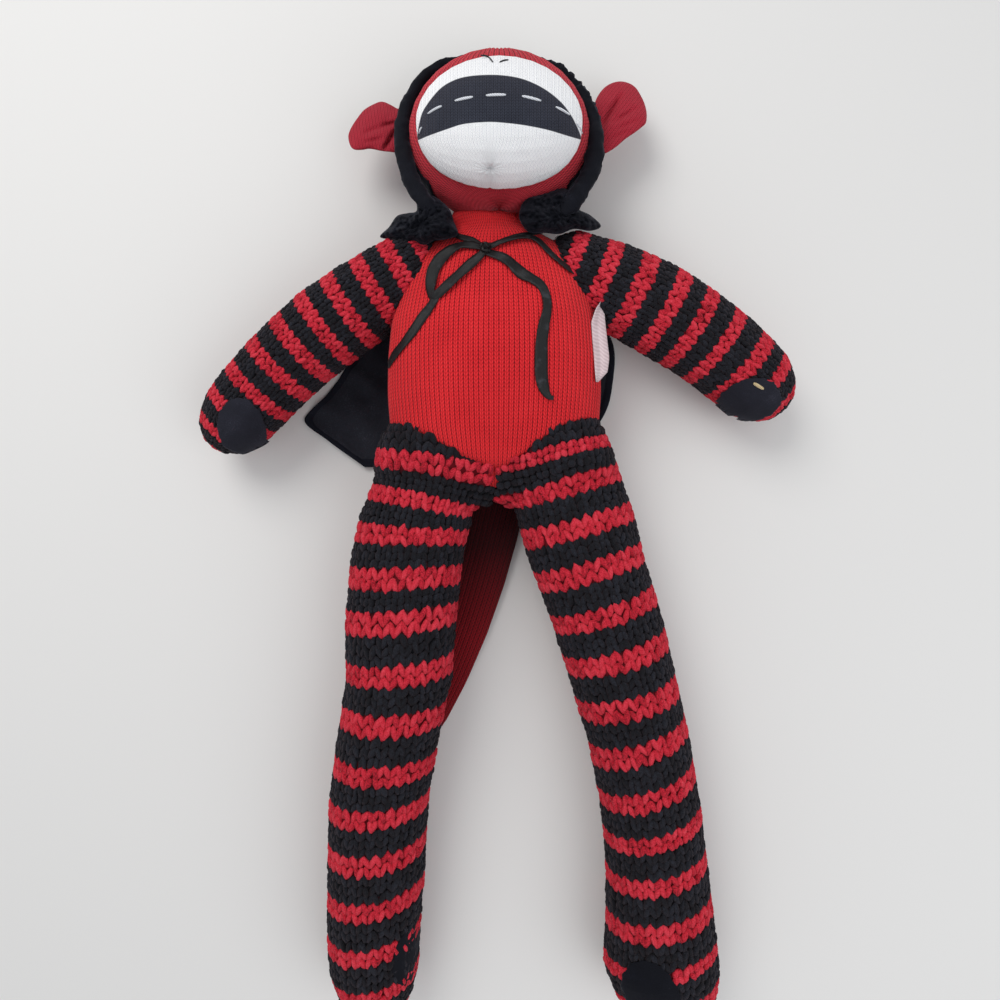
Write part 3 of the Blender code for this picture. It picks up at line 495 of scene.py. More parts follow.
def gapShadeCloth(name):
    # painted shade: the skin under the lobes is coloured dark red and near-black, the shade in the gaps between the
    # stitches
    cloth = Finish(name, 0.95)
    shade, fibre = cloth.attribute("shade"), cloth.noise(700.0)
    dark = cloth.blend(shade, (0.10, 0.000, 0.004), (0.0025, 0.0025, 0.0042))
    colour = cloth.blend(fibre, dark, cloth.blend(shade, (0.17, 0.002, 0.008), (0.0070, 0.0075, 0.0115)))
    return cloth.finish(colour, cloth.bump(fibre, 0.0006, 0.8), 0.05)


# the lobes' yarn, and the painted gap shade for the skin under them
yarn, under = knitYarn("chunkyYarn"), gapShadeCloth("chunkyGapShade")


def stitchField():
    tree = bpy.data.node_groups.new("stitchField", "GeometryNodeTree")
    sizes = {"Around": 6, "Rings": 4}
    for name, way, kind in (("Geometry", "INPUT", "Geometry"), *((name, "INPUT", "Int") for name in sizes),
                            ("Yarn", "INPUT", "Material"), ("Geometry", "OUTPUT", "Geometry")):
        tree.interface.new_socket(name=name, in_out=way, socket_type="NodeSocket" + kind)

    def node(kind, facts=(), **links):
        made = tree.nodes.new(kind)
        for key, value in dict(facts).items():
            setattr(made, key, value)
        for socket, value in links.items():
            if isinstance(value, bpy.types.NodeSocket):
                tree.links.new(value, made.inputs[socket])
            else:
                made.inputs[socket].default_value = value
        return made.outputs[0] if made.outputs else made

    def reading(name):
        return node("GeometryNodeInputNamedAttribute", {"data_type": "FLOAT_VECTOR"}, Name=name)

    start = tree.nodes.new("NodeGroupInput").outputs
    lobe = node("GeometryNodeMeshUVSphere", Segments=start["Around"], Rings=start["Rings"], Radius=0.5)
    lobe = node("GeometryNodeTransform", Geometry=lobe, Rotation=(math.pi / 2, 0, 0))
    turn = node("FunctionNodeAlignRotationToVector", {"axis": "Y"}, Vector=reading("aim"))
    turn = node("FunctionNodeAlignRotationToVector", {"axis": "Z", "pivot_axis": "Y"}, Rotation=turn, Vector=reading("out"))
    lobes = node("GeometryNodeInstanceOnPoints", Points=start["Geometry"], Instance=lobe, Rotation=turn, Scale=reading("leafScale"))
    lobes = node("GeometryNodeSetShadeSmooth", Geometry=node("GeometryNodeRealizeInstances", Geometry=lobes))
    node("NodeGroupOutput", Geometry=node("GeometryNodeSetMaterial", Geometry=lobes, Material=start["Yarn"]))
    return tree, sizes


lobeTree, lobeSizes = stitchField()


def addLayer(mesh, name, values, kind="FLOAT"):
    layer = mesh.attributes.new(name, kind, "POINT")
    layer.data.foreach_set("vector" if kind == "FLOAT_VECTOR" else "value", np.asarray(values, dtype=np.float32).ravel())


def evaluated(seat):
    # the finished mesh behind the modifiers
    graph = bpy.context.evaluated_depsgraph_get()
    graph.update()
    finished = bpy.data.meshes.new_from_object(seat.evaluated_get(graph), preserve_all_data_layers=True, depsgraph=graph)
    seat.modifiers.clear()
    return finished


def lobesFrom(name, places, aims, outs, scales, tones, shades, material):
    mesh = bpy.data.meshes.new(name + "Points")
    mesh.from_pydata([tuple(place) for place in places], [], [])
    for key, values in (("aim", aims), ("out", outs), ("leafScale", scales)):
        addLayer(mesh, key, values, "FLOAT_VECTOR")
    for key, values in (("tone", tones), ("shade", shades)):
        addLayer(mesh, key, values)
    seat = placed(name + "Points", mesh)
    work = seat.modifiers.new("stitches", "NODES")
    work.node_group = lobeTree
    values = {**lobeSizes, "Yarn": material}
    for item in lobeTree.interface.items_tree:
        if item.in_out == "INPUT" and item.name in values:
            work[item.identifier] = values[item.name]
    finished = evaluated(seat)
    bpy.data.objects.remove(seat)
    return placed(name, finished)


def rowPlaces(stripes, before, after):
    # row numbers and their places along: red rows 5i to 5i+2, then three black rows
    pairs = []
    for number, (low, high) in enumerate(stripes):
        pairs += [(5.0 * number, low * mm), (5.0 * number + 2, high * mm)]
    step = (pairs[-1][1] - pairs[0][1]) / (pairs[-1][0] - pairs[0][0])
    first, last = (-before, pairs[0][1] - before * step), (pairs[-1][0] + after, pairs[-1][1] + after * step)
    return zip(*([first] + pairs + [last]))


def unit(vectors, least=1e-9):
    return vectors / np.maximum(np.linalg.norm(vectors, axis=1, keepdims=True), least)


def chunkyPiece(name, limb, facts, bend, lift):
    # limb surface as a grid in s, then stitches at each row and wale
    low, high = facts["span"]
    across, wales, jitter = facts["across"], facts["wales"], facts["jitter"]
    found = limbGrid(limb, low, high, facts["gridStep"], across, bend)
    if "shorter" in facts:
        way = np.array(facts["chord"])
        share = np.array([[smoothShare(v, 0.090, 0.195) for v in ring] for ring in (found - np.array(facts["shoulder"])) @ way])
        found = found - way * (facts["shorter"] * share)[..., None]
    grid = relax(found, facts["relax"])
    if limb.wall:
        free = np.array([smoothShare(-ring[:, 1].min(), 0.074, 0.086) for ring in found])[:, None, None]
        grid = relax(found, 6, 0.5, 0.0) * (1 - free) + relax(found, 1, 0.1, 0.25) * free
    limb.skin = treeFrom(grid=grid)
    normals = gridNormals(grid)
    if normals[len(grid) // 2, 0, 2] < 0:
        normals = -normals
    rowsAt, placesAt = rowPlaces(facts["stripes"], facts["rowsBefore"], facts["rowsAfter"])
    offsets = lift(grid)
    base = gridMesh(name, grid + normals * (offsets - facts["underDepth"])[..., None])
    rowOf = np.interp(low + (high - low) * np.arange(len(grid)) / (len(grid) - 1), placesAt, rowsAt)
    shade = np.where((rowOf % 5.0) < 2.0, 0.0, 1.0)
    addLayer(base.data, "shade", np.concatenate([np.repeat(shade, across), [shade[0], shade[-1]]]))
    # the skin under the lobes carries the painted gap shade
    base.data.materials.append(under)

    dice = np.random.default_rng(facts["seed"])
    made = []
    for row in range(math.ceil(np.interp(low, placesAt, rowsAt)), math.floor(np.interp(high, placesAt, rowsAt)) + 1):
        s = np.interp(row + 0.5, rowsAt, placesAt)
        pitch = np.interp(row + 1, rowsAt, placesAt) - np.interp(row, rowsAt, placesAt)
        if s > high or s < low:
            continue
        gridRow = (s - low) / (high - low) * (len(grid) - 1)
        ring = readGrid(grid, np.full(48, gridRow), np.arange(48) * across / 48)
        girth = np.linalg.norm(np.roll(ring, -1, 0) - ring, axis=1).sum()
        number = wales
        if not 0.72 < girth / wales / facts["walePitch"] < 1.16:
            number = max(int(round(girth / facts["walePitch"])), 4)
        half = np.arange(number * 2)
        count = len(half)
        sideways = np.where(half % 2 == 0, 1.0, -1.0)
        column = (half // 2 - number // 2 - sideways * 0.25) / number * across
        column = column + dice.normal(0, jitter * across / wales, count)
        shift = dice.normal(0, jitter, count) * pitch / ((high - low) / (len(grid) - 1))
        at = np.full(count, gridRow) + shift
        place = readGrid(grid, at, column)
        out = unit(readGrid(normals, at, column))
        down = unit(readGrid(grid, at + 0.8, column) - readGrid(grid, at - 0.8, column))
        wideStep = 0.6 * across / 44
        round_ = unit(readGrid(grid, at, column + wideStep) - readGrid(grid, at, column - wideStep))
        lean = np.tan(np.radians(facts["lean"] + dice.normal(0, facts["leanSpread"], count)))
        aim = unit(down + round_ * (sideways * lean)[:, None] - out * facts["dive"])
        rise = readGrid(offsets[..., None], at, column)[:, 0]
        inside = (np.abs(place[:, 0]) < 0.0012) & (np.abs(out[:, 0]) > 0.75) if limb.wall else rise > 1
        kept = (rise > -0.0030) & ~(inside & (place[:, 1] > -0.0945))
        size = np.tile((girth / number * facts["lobeWidth"], pitch * facts["lobeLength"], facts["lobeThick"]), (count, 1))
        size *= 1 + dice.normal(0, 0.05, size.shape)
        spots = place + out * (rise + facts["lobeRise"] + dice.normal(0, 0.00025, count))[:, None]
        tone = dice.uniform(0, 1, count)
        made.append([values[kept] for values in (spots, aim, out, size, tone, np.full(count, float(row % 5 >= 2)))])
    return joinPieces(name, [base, lobesFrom(name + "Lobes", *(np.concatenate(part) for part in zip(*made)), yarn)])


chunkyFacts = {
    "relax": 2,
    "rowsBefore": 8,
    "rowsAfter": 12,
    "lobeWidth": 0.58,
    "leanSpread": 5.0,
    "dive": 0.10,
    "jitter": 0.06,
}


# Arms

armFacts = {
    **chunkyFacts,
    "across": 64,
    "wales": 28,
    "walePitch": 0.0066,
    "gridStep": 0.003,
    "underDepth": 0.0016,
    "lobeLength": 1.50,
    "lobeThick": 0.0034,
    "lobeRise": -0.0008,
    "lean": 20.0,
    "rootRadius": 0.0265,
    "bow": 0.010,
    "sag": 0.018,
}
arms = {
    "left": {
        "shoulder": (-0.059, 0.073, 0.050),
        "heading": 220.0,
        "length": 0.196,
        "tipRadius": 0.029,
        "shorter": 0.003,
        "stripes": [(-20, -9), (1.4, 12.5), (23, 34), (46, 57), (68, 78.5), (89.6, 100.7), (112.5, 123.6), (136, 146), (158, 168)],
        "seed": 11,
    },
    "right": {
        "shoulder": (0.059, 0.073, 0.050),
        "heading": -32.3,
        "length": 0.187,
        "tipRadius": 0.031,
        "shorter": 0.006,
        "stripes": [(-12, -1), (11.7, 22.8), (35.9, 48.3), (61.4, 72.4), (84, 94.5), (107.6, 118), (133, 145.5), (156.5, 168)],
        "seed": 12,
    },
}


def armPath(facts):
    chord = Vector(facts["chord"])
    out = Vector((-chord.y, chord.x, 0)) * (-1 if facts["shoulder"][0] < 0 else 1)
    end = 1 - facts["tipRadius"] / facts["length"]
    for number in range(25):
        t = end * number / 24
        drop = Vector((0, 0, -facts["sag"] * t ** 1.2))
        yield Vector(facts["shoulder"]) + chord * (facts["length"] * t) + out * (facts["bow"] * math.sin(math.pi * t)) + drop


for side, own in arms.items():
    turn = math.radians(own["heading"])
    own["chord"] = (math.cos(turn), math.sin(turn), 0.0)
    facts = {**armFacts, **own}
    limb = own["limb"] = Limb(treeOf(f"{side}_arm"), armPath(facts), facts["rootRadius"], own["tipRadius"])
    facts["span"] = (-facts["rootRadius"] * 1.45, limb.length + own["tipRadius"] * 1.50)
    arm = chunkyPiece(f"{side}ArmKnit", limb, facts, None, lambda grid: np.zeros(grid.shape[:2]))
    dress(arm, f"{side}_arm", (f"{side}_arm",), "striped_knit")


# The body as one uncut form, wider at the neck, under both the red knit and the trousers

bodyShape = {
    "low": -0.092,
    "length": 0.192,
    "half": 0.0755,
    "depth": 0.095,
    "lift": 0.0018,
    "power": 2.35,
    "sides": 96,
    "rings": 90,
    # share of the length, then of the half width, and bottom and top as shares of the depth
    "shares": [(-0.012, 0.17, 0.28, 0.55), (0.020, 0.24, 0.25, 0.60), (0.065, 0.66, 0.12, 0.70), (0.155, 0.90, 0.02, 0.80),
               (0.265, 0.98, 0.0, 0.88), (0.400, 1.0, 0.0, 0.94), (0.530, 0.99, 0.0, 0.98), (0.660, 0.96, 0.0, 0.97),
               (0.765, 0.90, 0.01, 0.92), (0.865, 0.82, 0.03, 0.86), (0.930, 0.70, 0.08, 0.80), (0.970, 0.52, 0.15, 0.76),
               (0.995, 0.40, 0.20, 0.72)],
    "neck": (-0.003, 0.1047, 0.046),
    "neckHalves": (0.0295, 0.0240),
    "neckAngles": (-28, -16, -4, 8, 20, 34, 48, 62, 76, 86),
}


def bodyRings(facts):
    turn = 2 * np.pi * np.arange(facts["sides"]) / facts["sides"]
    c, s = np.cos(turn), np.sin(turn)
    wide, tall = (np.sign(v) * np.abs(v) ** (2 / facts["power"]) for v in (c, s))
    table = np.array(facts["shares"])
    for at in np.linspace(table[0, 0], table[-1, 0], facts["rings"]):
        half, low, high = (np.interp(at, table[:, 0], table[:, k]) for k in (1, 2, 3))
        middle, deep = facts["lift"] + (low + high) / 2 * facts["depth"], (high - low) / 2 * facts["depth"]
        yield np.stack([half * facts["half"] * wide, np.full(len(c), facts["low"] + at * facts["length"]), middle + deep * tall], 1)
    x, y, z = facts["neck"]
    across, deep = facts["neckHalves"]
    for angle in np.radians(facts["neckAngles"]):
        size = math.cos(angle)
        yield np.stack([x + across * size * c, np.full(len(c), y + deep * math.sin(angle)), z + deep * size * s], 1)


bodyGrid = np.array(list(bodyRings(bodyShape)))
bodyTree = treeFrom(grid=bodyGrid)


# Legs: knitted trousers that start at the V seam of the red body

vSeam = [(-90.0, -38.0), (-76.0, -39.0), (-60.3, -40.9), (-49.4, -44.0), (-28.7, -54.6), (-15.6, -60.7), (-2.5, -65.2),
         (3.0, -66.0), (8.6, -63.9), (28.2, -50.7), (47.3, -38.0), (63.2, -33.5), (77.5, -35.4), (90.0, -36.0)]
vBack = -0.036


def vShares(grid, low, high):
    # how far each point is above the V seam, as a share from low to high
    shares = np.zeros(grid.shape[:2])
    for spot in np.ndindex(shares.shape):
        x, y, z = grid[spot]
        front = smoothShare(z, 0.028, 0.052)
        shares[spot] = smoothShare(y - (polyAt(vSeam, x / mm) * mm * front + vBack * (1 - front)), low, high)
    return shares


legFacts = {
    **chunkyFacts,
    "across": 120,
    "wales": 27,
    "walePitch": 0.0084,
    "gridStep": 0.0045,
    "underDepth": 0.0020,
    "lobeLength": 1.52,
    "lobeThick": 0.0046,
    "lobeRise": -0.0011,
    "lean": 21.0,
    "length": 0.408,
    "height": 0.080,
    "start": 0.042,
    "tipRadius": 0.034,
    "upperFrom": -0.0975,
}
# each centre is a place down the leg, then aside and up, as shares of the leg's length and height
legs = {
    "left": {
        "hip": (-0.0465, -0.062, 0.050),
        "centres": [(0, 0, 0.625), (0.030, 0, 0.566), (0.095, -0.024, 0.568), (0.175, -0.040, 0.580), (0.280, -0.050, 0.572),
                    (0.385, -0.054, 0.553), (0.490, -0.074, 0.527), (0.595, -0.090, 0.502), (0.670, -0.094, 0.477),
                    (0.740, -0.097, 0.453), (0.830, -0.102, 0.424), (0.905, -0.102, 0.402), (1.0, -0.102, 0.36)],
        "stripes": [(36.8, 50.4), (63.9, 75.4), (88.9, 101.7), (117.2, 132.2), (145.9, 162.2), (182.7, 197.6), (216.2, 231.9),
                    (252, 266.3), (282.3, 296), (314, 328.4), (348, 361.8), (381.4, 393.7), (413, 425)],
        "seed": 21,
    },
    "right": {
        "hip": (0.0465, -0.062, 0.050),
        "centres": [(0, 0, 0.625), (0.030, 0.008, 0.566), (0.095, 0.028, 0.568), (0.175, 0.048, 0.580), (0.280, 0.084, 0.572),
                    (0.385, 0.112, 0.553), (0.490, 0.140, 0.527), (0.595, 0.160, 0.502), (0.670, 0.170, 0.477),
                    (0.740, 0.177, 0.458), (0.830, 0.182, 0.446), (0.895, 0.184, 0.437), (1.0, 0.190, 0.40)],
        "stripes": [(30, 39), (52.4, 66), (82.4, 96.7), (113, 128), (145, 158.6), (175.6, 190.5), (208.2, 223.9), (240.2, 255.2),
                    (273.5, 287.1), (304.8, 316.4), (335.4, 348.4), (368.1, 381.7), (400, 409.6)],
        "seed": 22,
    },
}


def legPath(facts, turns=6):
    hip = Vector(facts["hip"])
    points = [Vector((hip.x, hip.y + facts["start"], hip.z - 0.002)), Vector((hip.x, hip.y + facts["start"] / 2, hip.z))]
    across, high = ([(centre[0], centre[k]) for centre in facts["centres"]] for k in (1, 2))
    end = 1 - facts["tipRadius"] / facts["length"]
    for number in range(29):
        t = end * number / 28
        points.append(Vector((hip.x + polyAt(across, t) * facts["length"], hip.y - t * facts["length"],
                              polyAt(high, t) * facts["height"])))
    for _ in range(turns):
        inner = [(a + b * 2 + c) / 4 for a, b, c in zip(points, points[1:], points[2:])]
        points = [points[0]] + inner + [points[-1]]
    return points


def leftBend(s, angle):
    # rows dip and tilt with the way that the stitches run in the photo
    inner = -math.sin(angle)
    dip = 0.0030 * smoothShare(inner, 0.0, 1.0) * (1 - smoothShare(s, 0.060, 0.095))
    return dip - 0.006 * inner * smoothShare(s, 0.060, 0.100)


def rightBend(s, angle):
    inner = math.sin(angle)
    dip = (0.0070 if inner > 0 else 0.0030) * inner * (1 - smoothShare(s, 0.044, 0.078))
    return dip + 0.005 * inner * smoothShare(s, 0.215, 0.260)


for side, own in legs.items():
    sign = -1 if side == "left" else 1

    def wall(centre, ray, found, sign=sign, near=0.0002):
        # the two trouser halves meet in the plane between the legs
        return centre + ray * ((sign * near - centre.x) / ray.x) if found.x * sign < near else found

    facts = {**legFacts, **own}
    limb = own["limb"] = Limb(treeOf(f"{side}_leg"), legPath(facts), None, facts["tipRadius"], wall,
                              treeOf(f"{side}_leg", grid=bodyGrid), facts["upperFrom"])
    facts["span"] = (0.0, limb.length + facts["tipRadius"] * 1.50)
    leg = chunkyPiece(f"{side}LegKnit", limb, facts, leftBend if side == "left" else rightBend,
                      lambda grid: 0.0006 - 0.0042 * vShares(grid, -0.0012, 0.0016))
    x, _, z = own["hip"]
    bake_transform(leg)
    dress(leg, None, (f"{side}_leg", "hips"), "striped_knit")


# Fine knit: ridges of small V stitches on the piece's own map, one unit a wale and one a row


def fineStitches(cloth, slope=0.9):
    apart = cloth.node("SeparateXYZ", (), _0=cloth.knitMap())
    wale = cloth.math("FRACT", apart.outputs[0])
    edge = cloth.math("MULTIPLY", cloth.math("ABSOLUTE", cloth.math("SUBTRACT", wale, 0.5)), 2.0)
    row = cloth.math("FRACT", cloth.math("MULTIPLY_ADD", edge, slope, apart.outputs[1]))
    along = cloth.math("SINE", cloth.math("MULTIPLY", row, math.pi))
    across = cloth.math("SINE", cloth.math("MULTIPLY", cloth.math("FRACT", cloth.math("MULTIPLY", wale, 2.0)), math.pi))
    height = cloth.math("POWER", cloth.math("MULTIPLY", along, across), 0.45)
    gaps = cloth.math("SUBTRACT", 1.1, cloth.math("MULTIPLY", along, 0.6))
    # height is the stitch relief; the second value marks the grooves between wales, which the colour darkens as painted
    # shade
    return height, cloth.math("MULTIPLY", cloth.math("POWER", edge, 5.0), gaps, clamp=True)


def fineCloth(name, colours, grooveShadeShare=0.9, slope=0.9, ink=None, roughness=0.9, bump=0.0006):
    # colours are the deep, plain and pale yarn, read from a level where the stitch tops are paler as painted light and
    # the grooves between wales darker as painted shade, mixed with fibre noise; ink is the same for where the ink
    # attribute is over zero
    cloth = Finish(name, roughness)
    height, grooveShade = fineStitches(cloth, slope)
    fibre = cloth.noise(1100.0, 2.0, 0.6)
    level = cloth.total((height, 0.50), (fibre, 0.30), (cloth.noise(45.0, 3.0, 0.6), 0.30), (grooveShade, -grooveShadeShare))
    colour = cloth.ramp(level, list(zip((0.10, 0.52, 0.95), colours)))
    if ink:
        share = cloth.math("MULTIPLY_ADD", cloth.attribute("ink"), 2500.0, 0.5, clamp=True)
        colour = cloth.blend(share, colour, cloth.ramp(level, list(zip((0.10, 0.55, 0.95), ink))))
    normal = cloth.bump(cloth.math("MULTIPLY_ADD", fibre, 0.5, height), bump, 0.8)
    return cloth.finish(colour, normal, 0.07, 0.45, (1.0, 0.75, 0.78))


redFine = fineCloth("redFineKnit", ((0.17, 0.000, 0.004), (0.65, 0.010, 0.016), (0.88, 0.038, 0.044)), 0.8)
# the head's red is a darker copy of the body's red knit: painted shade of the chin and the head's sides
redHeadPaintedShade = fineCloth("redHeadPaintedShade", ((0.10, 0.002, 0.004), (0.48, 0.018, 0.034), (0.70, 0.050, 0.072)), 0.8)
# a still darker copy of the red knit: painted shade under the chin, worn by the neck gather
redNeckPaintedShade = fineCloth("redChinShadeKnit", ((0.08, 0.000, 0.002), (0.38, 0.008, 0.014), (0.56, 0.024, 0.032)))


# Body: fine red knit, gathered at the neck and tucked under the trousers at the V

bodyFacts = {
    "path": [(0, 0.1047, 0.0460), (0, 0.05, 0.0485), (0, 0.0, 0.0495), (0, -0.05, 0.0500), (0, -0.085, 0.0500)],
    "rootRadius": 0.024,
    "tipRadius": 0.04,
    "start": -0.024 * 1.35,
    "step": 0.0016,
    "across": 472,
    "wales": 118,
    "rowPitch": 0.0025,
    "ridge": 0.00035,
    "tuck": 0.0026,
}


def makeBody(facts):
    limb = Limb(bodyTree, facts["path"], facts["rootRadius"], facts["tipRadius"])
    across, wales = facts["across"], facts["wales"]
    grid = limbGrid(limb, facts["start"], limb.length, facts["step"], across, None, 1)
    grid = relax(relax(grid, 2), 8, 0.5, 0.0)
    normals = outward(grid, grid.mean(axis=1, keepdims=True))
    tucked = np.zeros(grid.shape[:2])
    low = grid[:, :, 1].min(axis=1) <= -0.02
    tucked[low] = facts["tuck"] * (1 - vShares(grid[low], -0.0040, 0.0006))
    rise = -facts["ridge"] * ridges(across, wales)[None, :] - tucked
    rowStep = (limb.length - facts["start"]) / (len(grid) - 1) / facts["rowPitch"]
    return gridMesh("redBody", grid + normals * rise[..., None], (wales / across, rowStep))


dress(makeBody(bodyFacts), "torso", ("torso",), "red_knit", redFine)


# Muzzle: one knitted dome whose wales run out from the pucker, white with the black mouth band

muzzleFacts = {
    "centre": (0.0035, 0.160, 0.095),
    "pucker": (490, 169),
    "axes": (0.056, 0.045, 0.025),
    "around": 420,
    "rings": 120,
    "waleWide": 3.6,
    "rowTall": 2.9,
    "gathered": 5.0,
    "pxWide": 0.6 * mm,
    "lowestInk": 0.0835,
    # the band's upper and lower edge in the photo
    "bandEdges": [
        [(416.5, 141), (418.5, 127), (422, 113), (428, 103), (435, 94), (442, 87), (452, 81), (464, 77), (481, 75),
         (502, 75.2), (523, 79), (543, 88), (560, 101), (571, 115), (579, 131), (582, 140)],
        [(582, 140), (568, 136), (548, 130), (526, 125.5), (504, 122.8), (487, 122), (464, 124), (447.6, 129), (428, 136),
         (416.5, 141)]],
    "white": ((0.70, 0.72, 0.77), (0.955, 0.96, 0.975), (0.985, 0.985, 0.99)),
    "black": ((0.0045, 0.0050, 0.0080), (0.0170, 0.0200, 0.0330), (0.052, 0.060, 0.086)),
}
muzzleTree = treeOf("muzzle_lower", "mouth_band", "muzzle_upper")


def depthIn(outline, places):
    # px from the outline's edge, over zero inside it
    start = np.array(outline, dtype=float)
    end = np.roll(start, -1, 0)
    run = end - start
    from_ = places[:, None] - start[None]
    share = np.clip((from_ * run).sum(-1) / (run ** 2).sum(-1), 0, 1)
    away = np.linalg.norm(from_ - run * share[..., None], axis=2).min(axis=1)
    crossing = (start[:, 1] > places[:, 1:2]) != (end[:, 1] > places[:, 1:2])
    reach = start[:, 0] + (places[:, 1:2] - start[:, 1]) * run[:, 0] / np.where(run[:, 1] == 0, 1e-9, run[:, 1])
    inside = (crossing & (places[:, 0:1] < reach)).sum(axis=1) % 2 == 1
    return np.where(inside, away, -away)


def domeGrid(tree, centre, pole, up, axes, rings, around):
    # rings from the pole; the axes stretch the rays so that the steps stay even
    pole = Vector(pole).normalized()
    side = Vector(up).cross(pole).normalized()
    high = pole.cross(side)
    grid = []
    for row in range(rings):
        tilt = math.pi * (row + 0.5) / rings
        ring = []
        for number in range(around):
            angle = 2 * math.pi * number / around
            ray = (side * (axes[0] * math.sin(angle) * math.sin(tilt)) + pole * (axes[1] * math.cos(tilt))
                   + high * (axes[2] * math.cos(angle) * math.sin(tilt)))
            ring.append(tuple(outermost(tree, Vector(centre), ray.normalized(), axes[2])))
        grid.append(ring)
    return np.array(grid)


def makeMuzzle(facts):
    pucker = surfaceAt(*facts["pucker"], muzzleTree, 0)[0]
    grid = domeGrid(muzzleTree, facts["centre"], pucker - Vector(facts["centre"]), (0, 0, 1), facts["axes"], facts["rings"],
                    facts["around"])
    grid = relax(grid, 2)
    fromPucker = np.linalg.norm(grid - np.array(pucker), axis=2)
    places = np.array([[photoPlace(point) for point in ring] for ring in grid])
    across, down = (places[..., k] - facts["pucker"][k] for k in (0, 1))
    dimple = np.exp(-((fromPucker / 0.0026) ** 2))
    pleats = np.exp(-((fromPucker / 0.0075) ** 2)) * ridges(facts["around"], 13)[None, :]
    crease = np.exp(-((across / 1.6) ** 2)) * np.clip((26 - down) / 8, 0, 1) * np.clip((down + 3) / 4, 0, 1)
    rise = -0.0012 * dimple + 0.00022 * pleats - 0.0006 * crease
    made = gridMesh("muzzleKnit", grid + outward(grid) * rise[..., None], (1, 1))
    mesh = made.data
    places = np.array([photoPlace(corner.co) for corner in mesh.vertices])
    across, down = (places[:, k] - facts["pucker"][k] for k in (0, 1))
    gather = facts["gathered"] * np.tanh(across / 7) * np.exp(-((down / 17) ** 2))
    knitMap = np.stack([across / facts["waleWide"] + gather, -down / facts["rowTall"]], 1)
    corner = np.zeros(len(mesh.loops), dtype=np.int32)
    mesh.loops.foreach_get("vertex_index", corner)
    mesh.uv_layers["knitMap"].data.foreach_set("uv", knitMap[corner].astype(np.float32).ravel())
    band = np.concatenate([roundCurve(edge, 50, False)[:-1] for edge in facts["bandEdges"]])
    front = np.array([point.co.z > facts["lowestInk"] for point in mesh.vertices])
    addLayer(mesh, "ink", np.where(front, depthIn(band, places), -5.0) * facts["pxWide"])
    return made


dress(makeMuzzle(muzzleFacts), "head", ("muzzle_lower", "mouth_band", "muzzle_upper"), "white_knit",
      fineCloth("muzzleKnit", muzzleFacts["white"], 0.32, 0.9, muzzleFacts["black"], 0.9, 0.0005))


# Head: fine red knit under the hood

headFacts = {
    "centre": (0.0035, 0.1682, 0.0503),
    "crown": (0, 0.93969, -0.34202),
    "face": (0, 0.34202, 0.93969),
    "halves": (0.06425, 0.065, 0.046),
    "around": 400,
    "wales": 100,
    "rings": 90,
    "ridge": 0.00035,
    "rowShare": 0.0021 / 0.0028,
}
headCentre, crown, face = (Vector(headFacts[key]) for key in ("centre", "crown", "face"))


def makeHead(facts):
    around, wales = facts["around"], facts["wales"]
    grid = relax(domeGrid(treeOf("head"), headCentre, -crown, (0, 0, 1), facts["halves"], facts["rings"], around), 1)
    grid = grid - outward(grid) * (facts["ridge"] * ridges(around, wales))[None, :, None]
    return gridMesh("redHead", grid, (wales / around, facts["rowShare"]))


dress(makeHead(headFacts), "head", ("head",), "red_knit", redHeadPaintedShade)


# Hood: a thin velour shell over the back of the head, with a rolled edge

hoodFacts = {
    "around": 160,
    "rings": 44,
    "tiltStep": 0.02,
    "cloth": 0.0019,
    "rimForward": 0.0075,
    "rimWide": 0.0050,
    "rimSteps": 260,
    "rimSides": 14,
    # middle of the rolled edge in the photo, from the left frill over the crown to the right frill
    "rim": [(434, 214), (426, 203), (416, 189), (408, 171), (403, 151), (402, 130), (405.5, 110), (413.5, 93), (425, 77.5),
            (439, 68), (452, 64), (466, 62), (482, 60.5), (506, 60.5), (530, 63), (547, 67), (560, 73), (572, 83), (584, 98),
            (592, 115), (596, 135), (595, 155), (589, 174), (580, 191), (570, 205), (562, 214)],
    # half width along it, in mm
    "rimHalves": [(0, 6.0), (0.14, 6.0), (0.24, 5.0), (0.34, 4.2), (0.66, 4.2), (0.76, 4.6), (0.86, 6.4), (1, 6.4)],
}


def hoodShell(facts, halves):
    tree, side, step = treeOf("hood"), Vector((1, 0, 0)), facts["tiltStep"]
    shell = []
    for angle in np.arange(facts["around"]) * 2 * math.pi / facts["around"]:
        tilts = []
        for tilt in np.arange(step, 2.4, step):
            ray = (side * (halves[0] * math.cos(angle) * math.sin(tilt)) - face * (halves[2] * math.cos(tilt))
                   + crown * (halves[1] * math.sin(angle) * math.sin(tilt))).normalized()
            hit = tree.ray_cast(headCentre + ray * 0.2, -ray, 0.16)
            if hit[0] is not None and hit[1].dot(ray) > 0.2:
                tilts.append((tilt, *hit[0]))
            elif tilt > 0.5:
                break
        shell.append(np.array(tilts))
    last = np.array([tilts[-1, 0] for tilts in shell])
    for _ in range(2):
        last = np.minimum(last, (np.roll(last, 1) + 2 * last + np.roll(last, -1)) / 4)
    shares = np.arange(facts["rings"]) / (facts["rings"] - 1)
    outer = np.stack([readEach(step + (end - step) * shares, tilts[:, 0], tilts[:, 1:]) for tilts, end in zip(shell, last)], 1)
    normals = outward(outer)
    ripple = [[0.0007 * noise.noise(Vector(point) * 45) + 0.0004 * noise.noise(Vector(point) * 130) for point in ring]
              for ring in outer]
    outer = outer + normals * np.array(ripple)[..., None]
    inner = outer - normals * facts["cloth"]
    return gridMesh("hoodShell", np.concatenate([outer, inner[::-1]]))


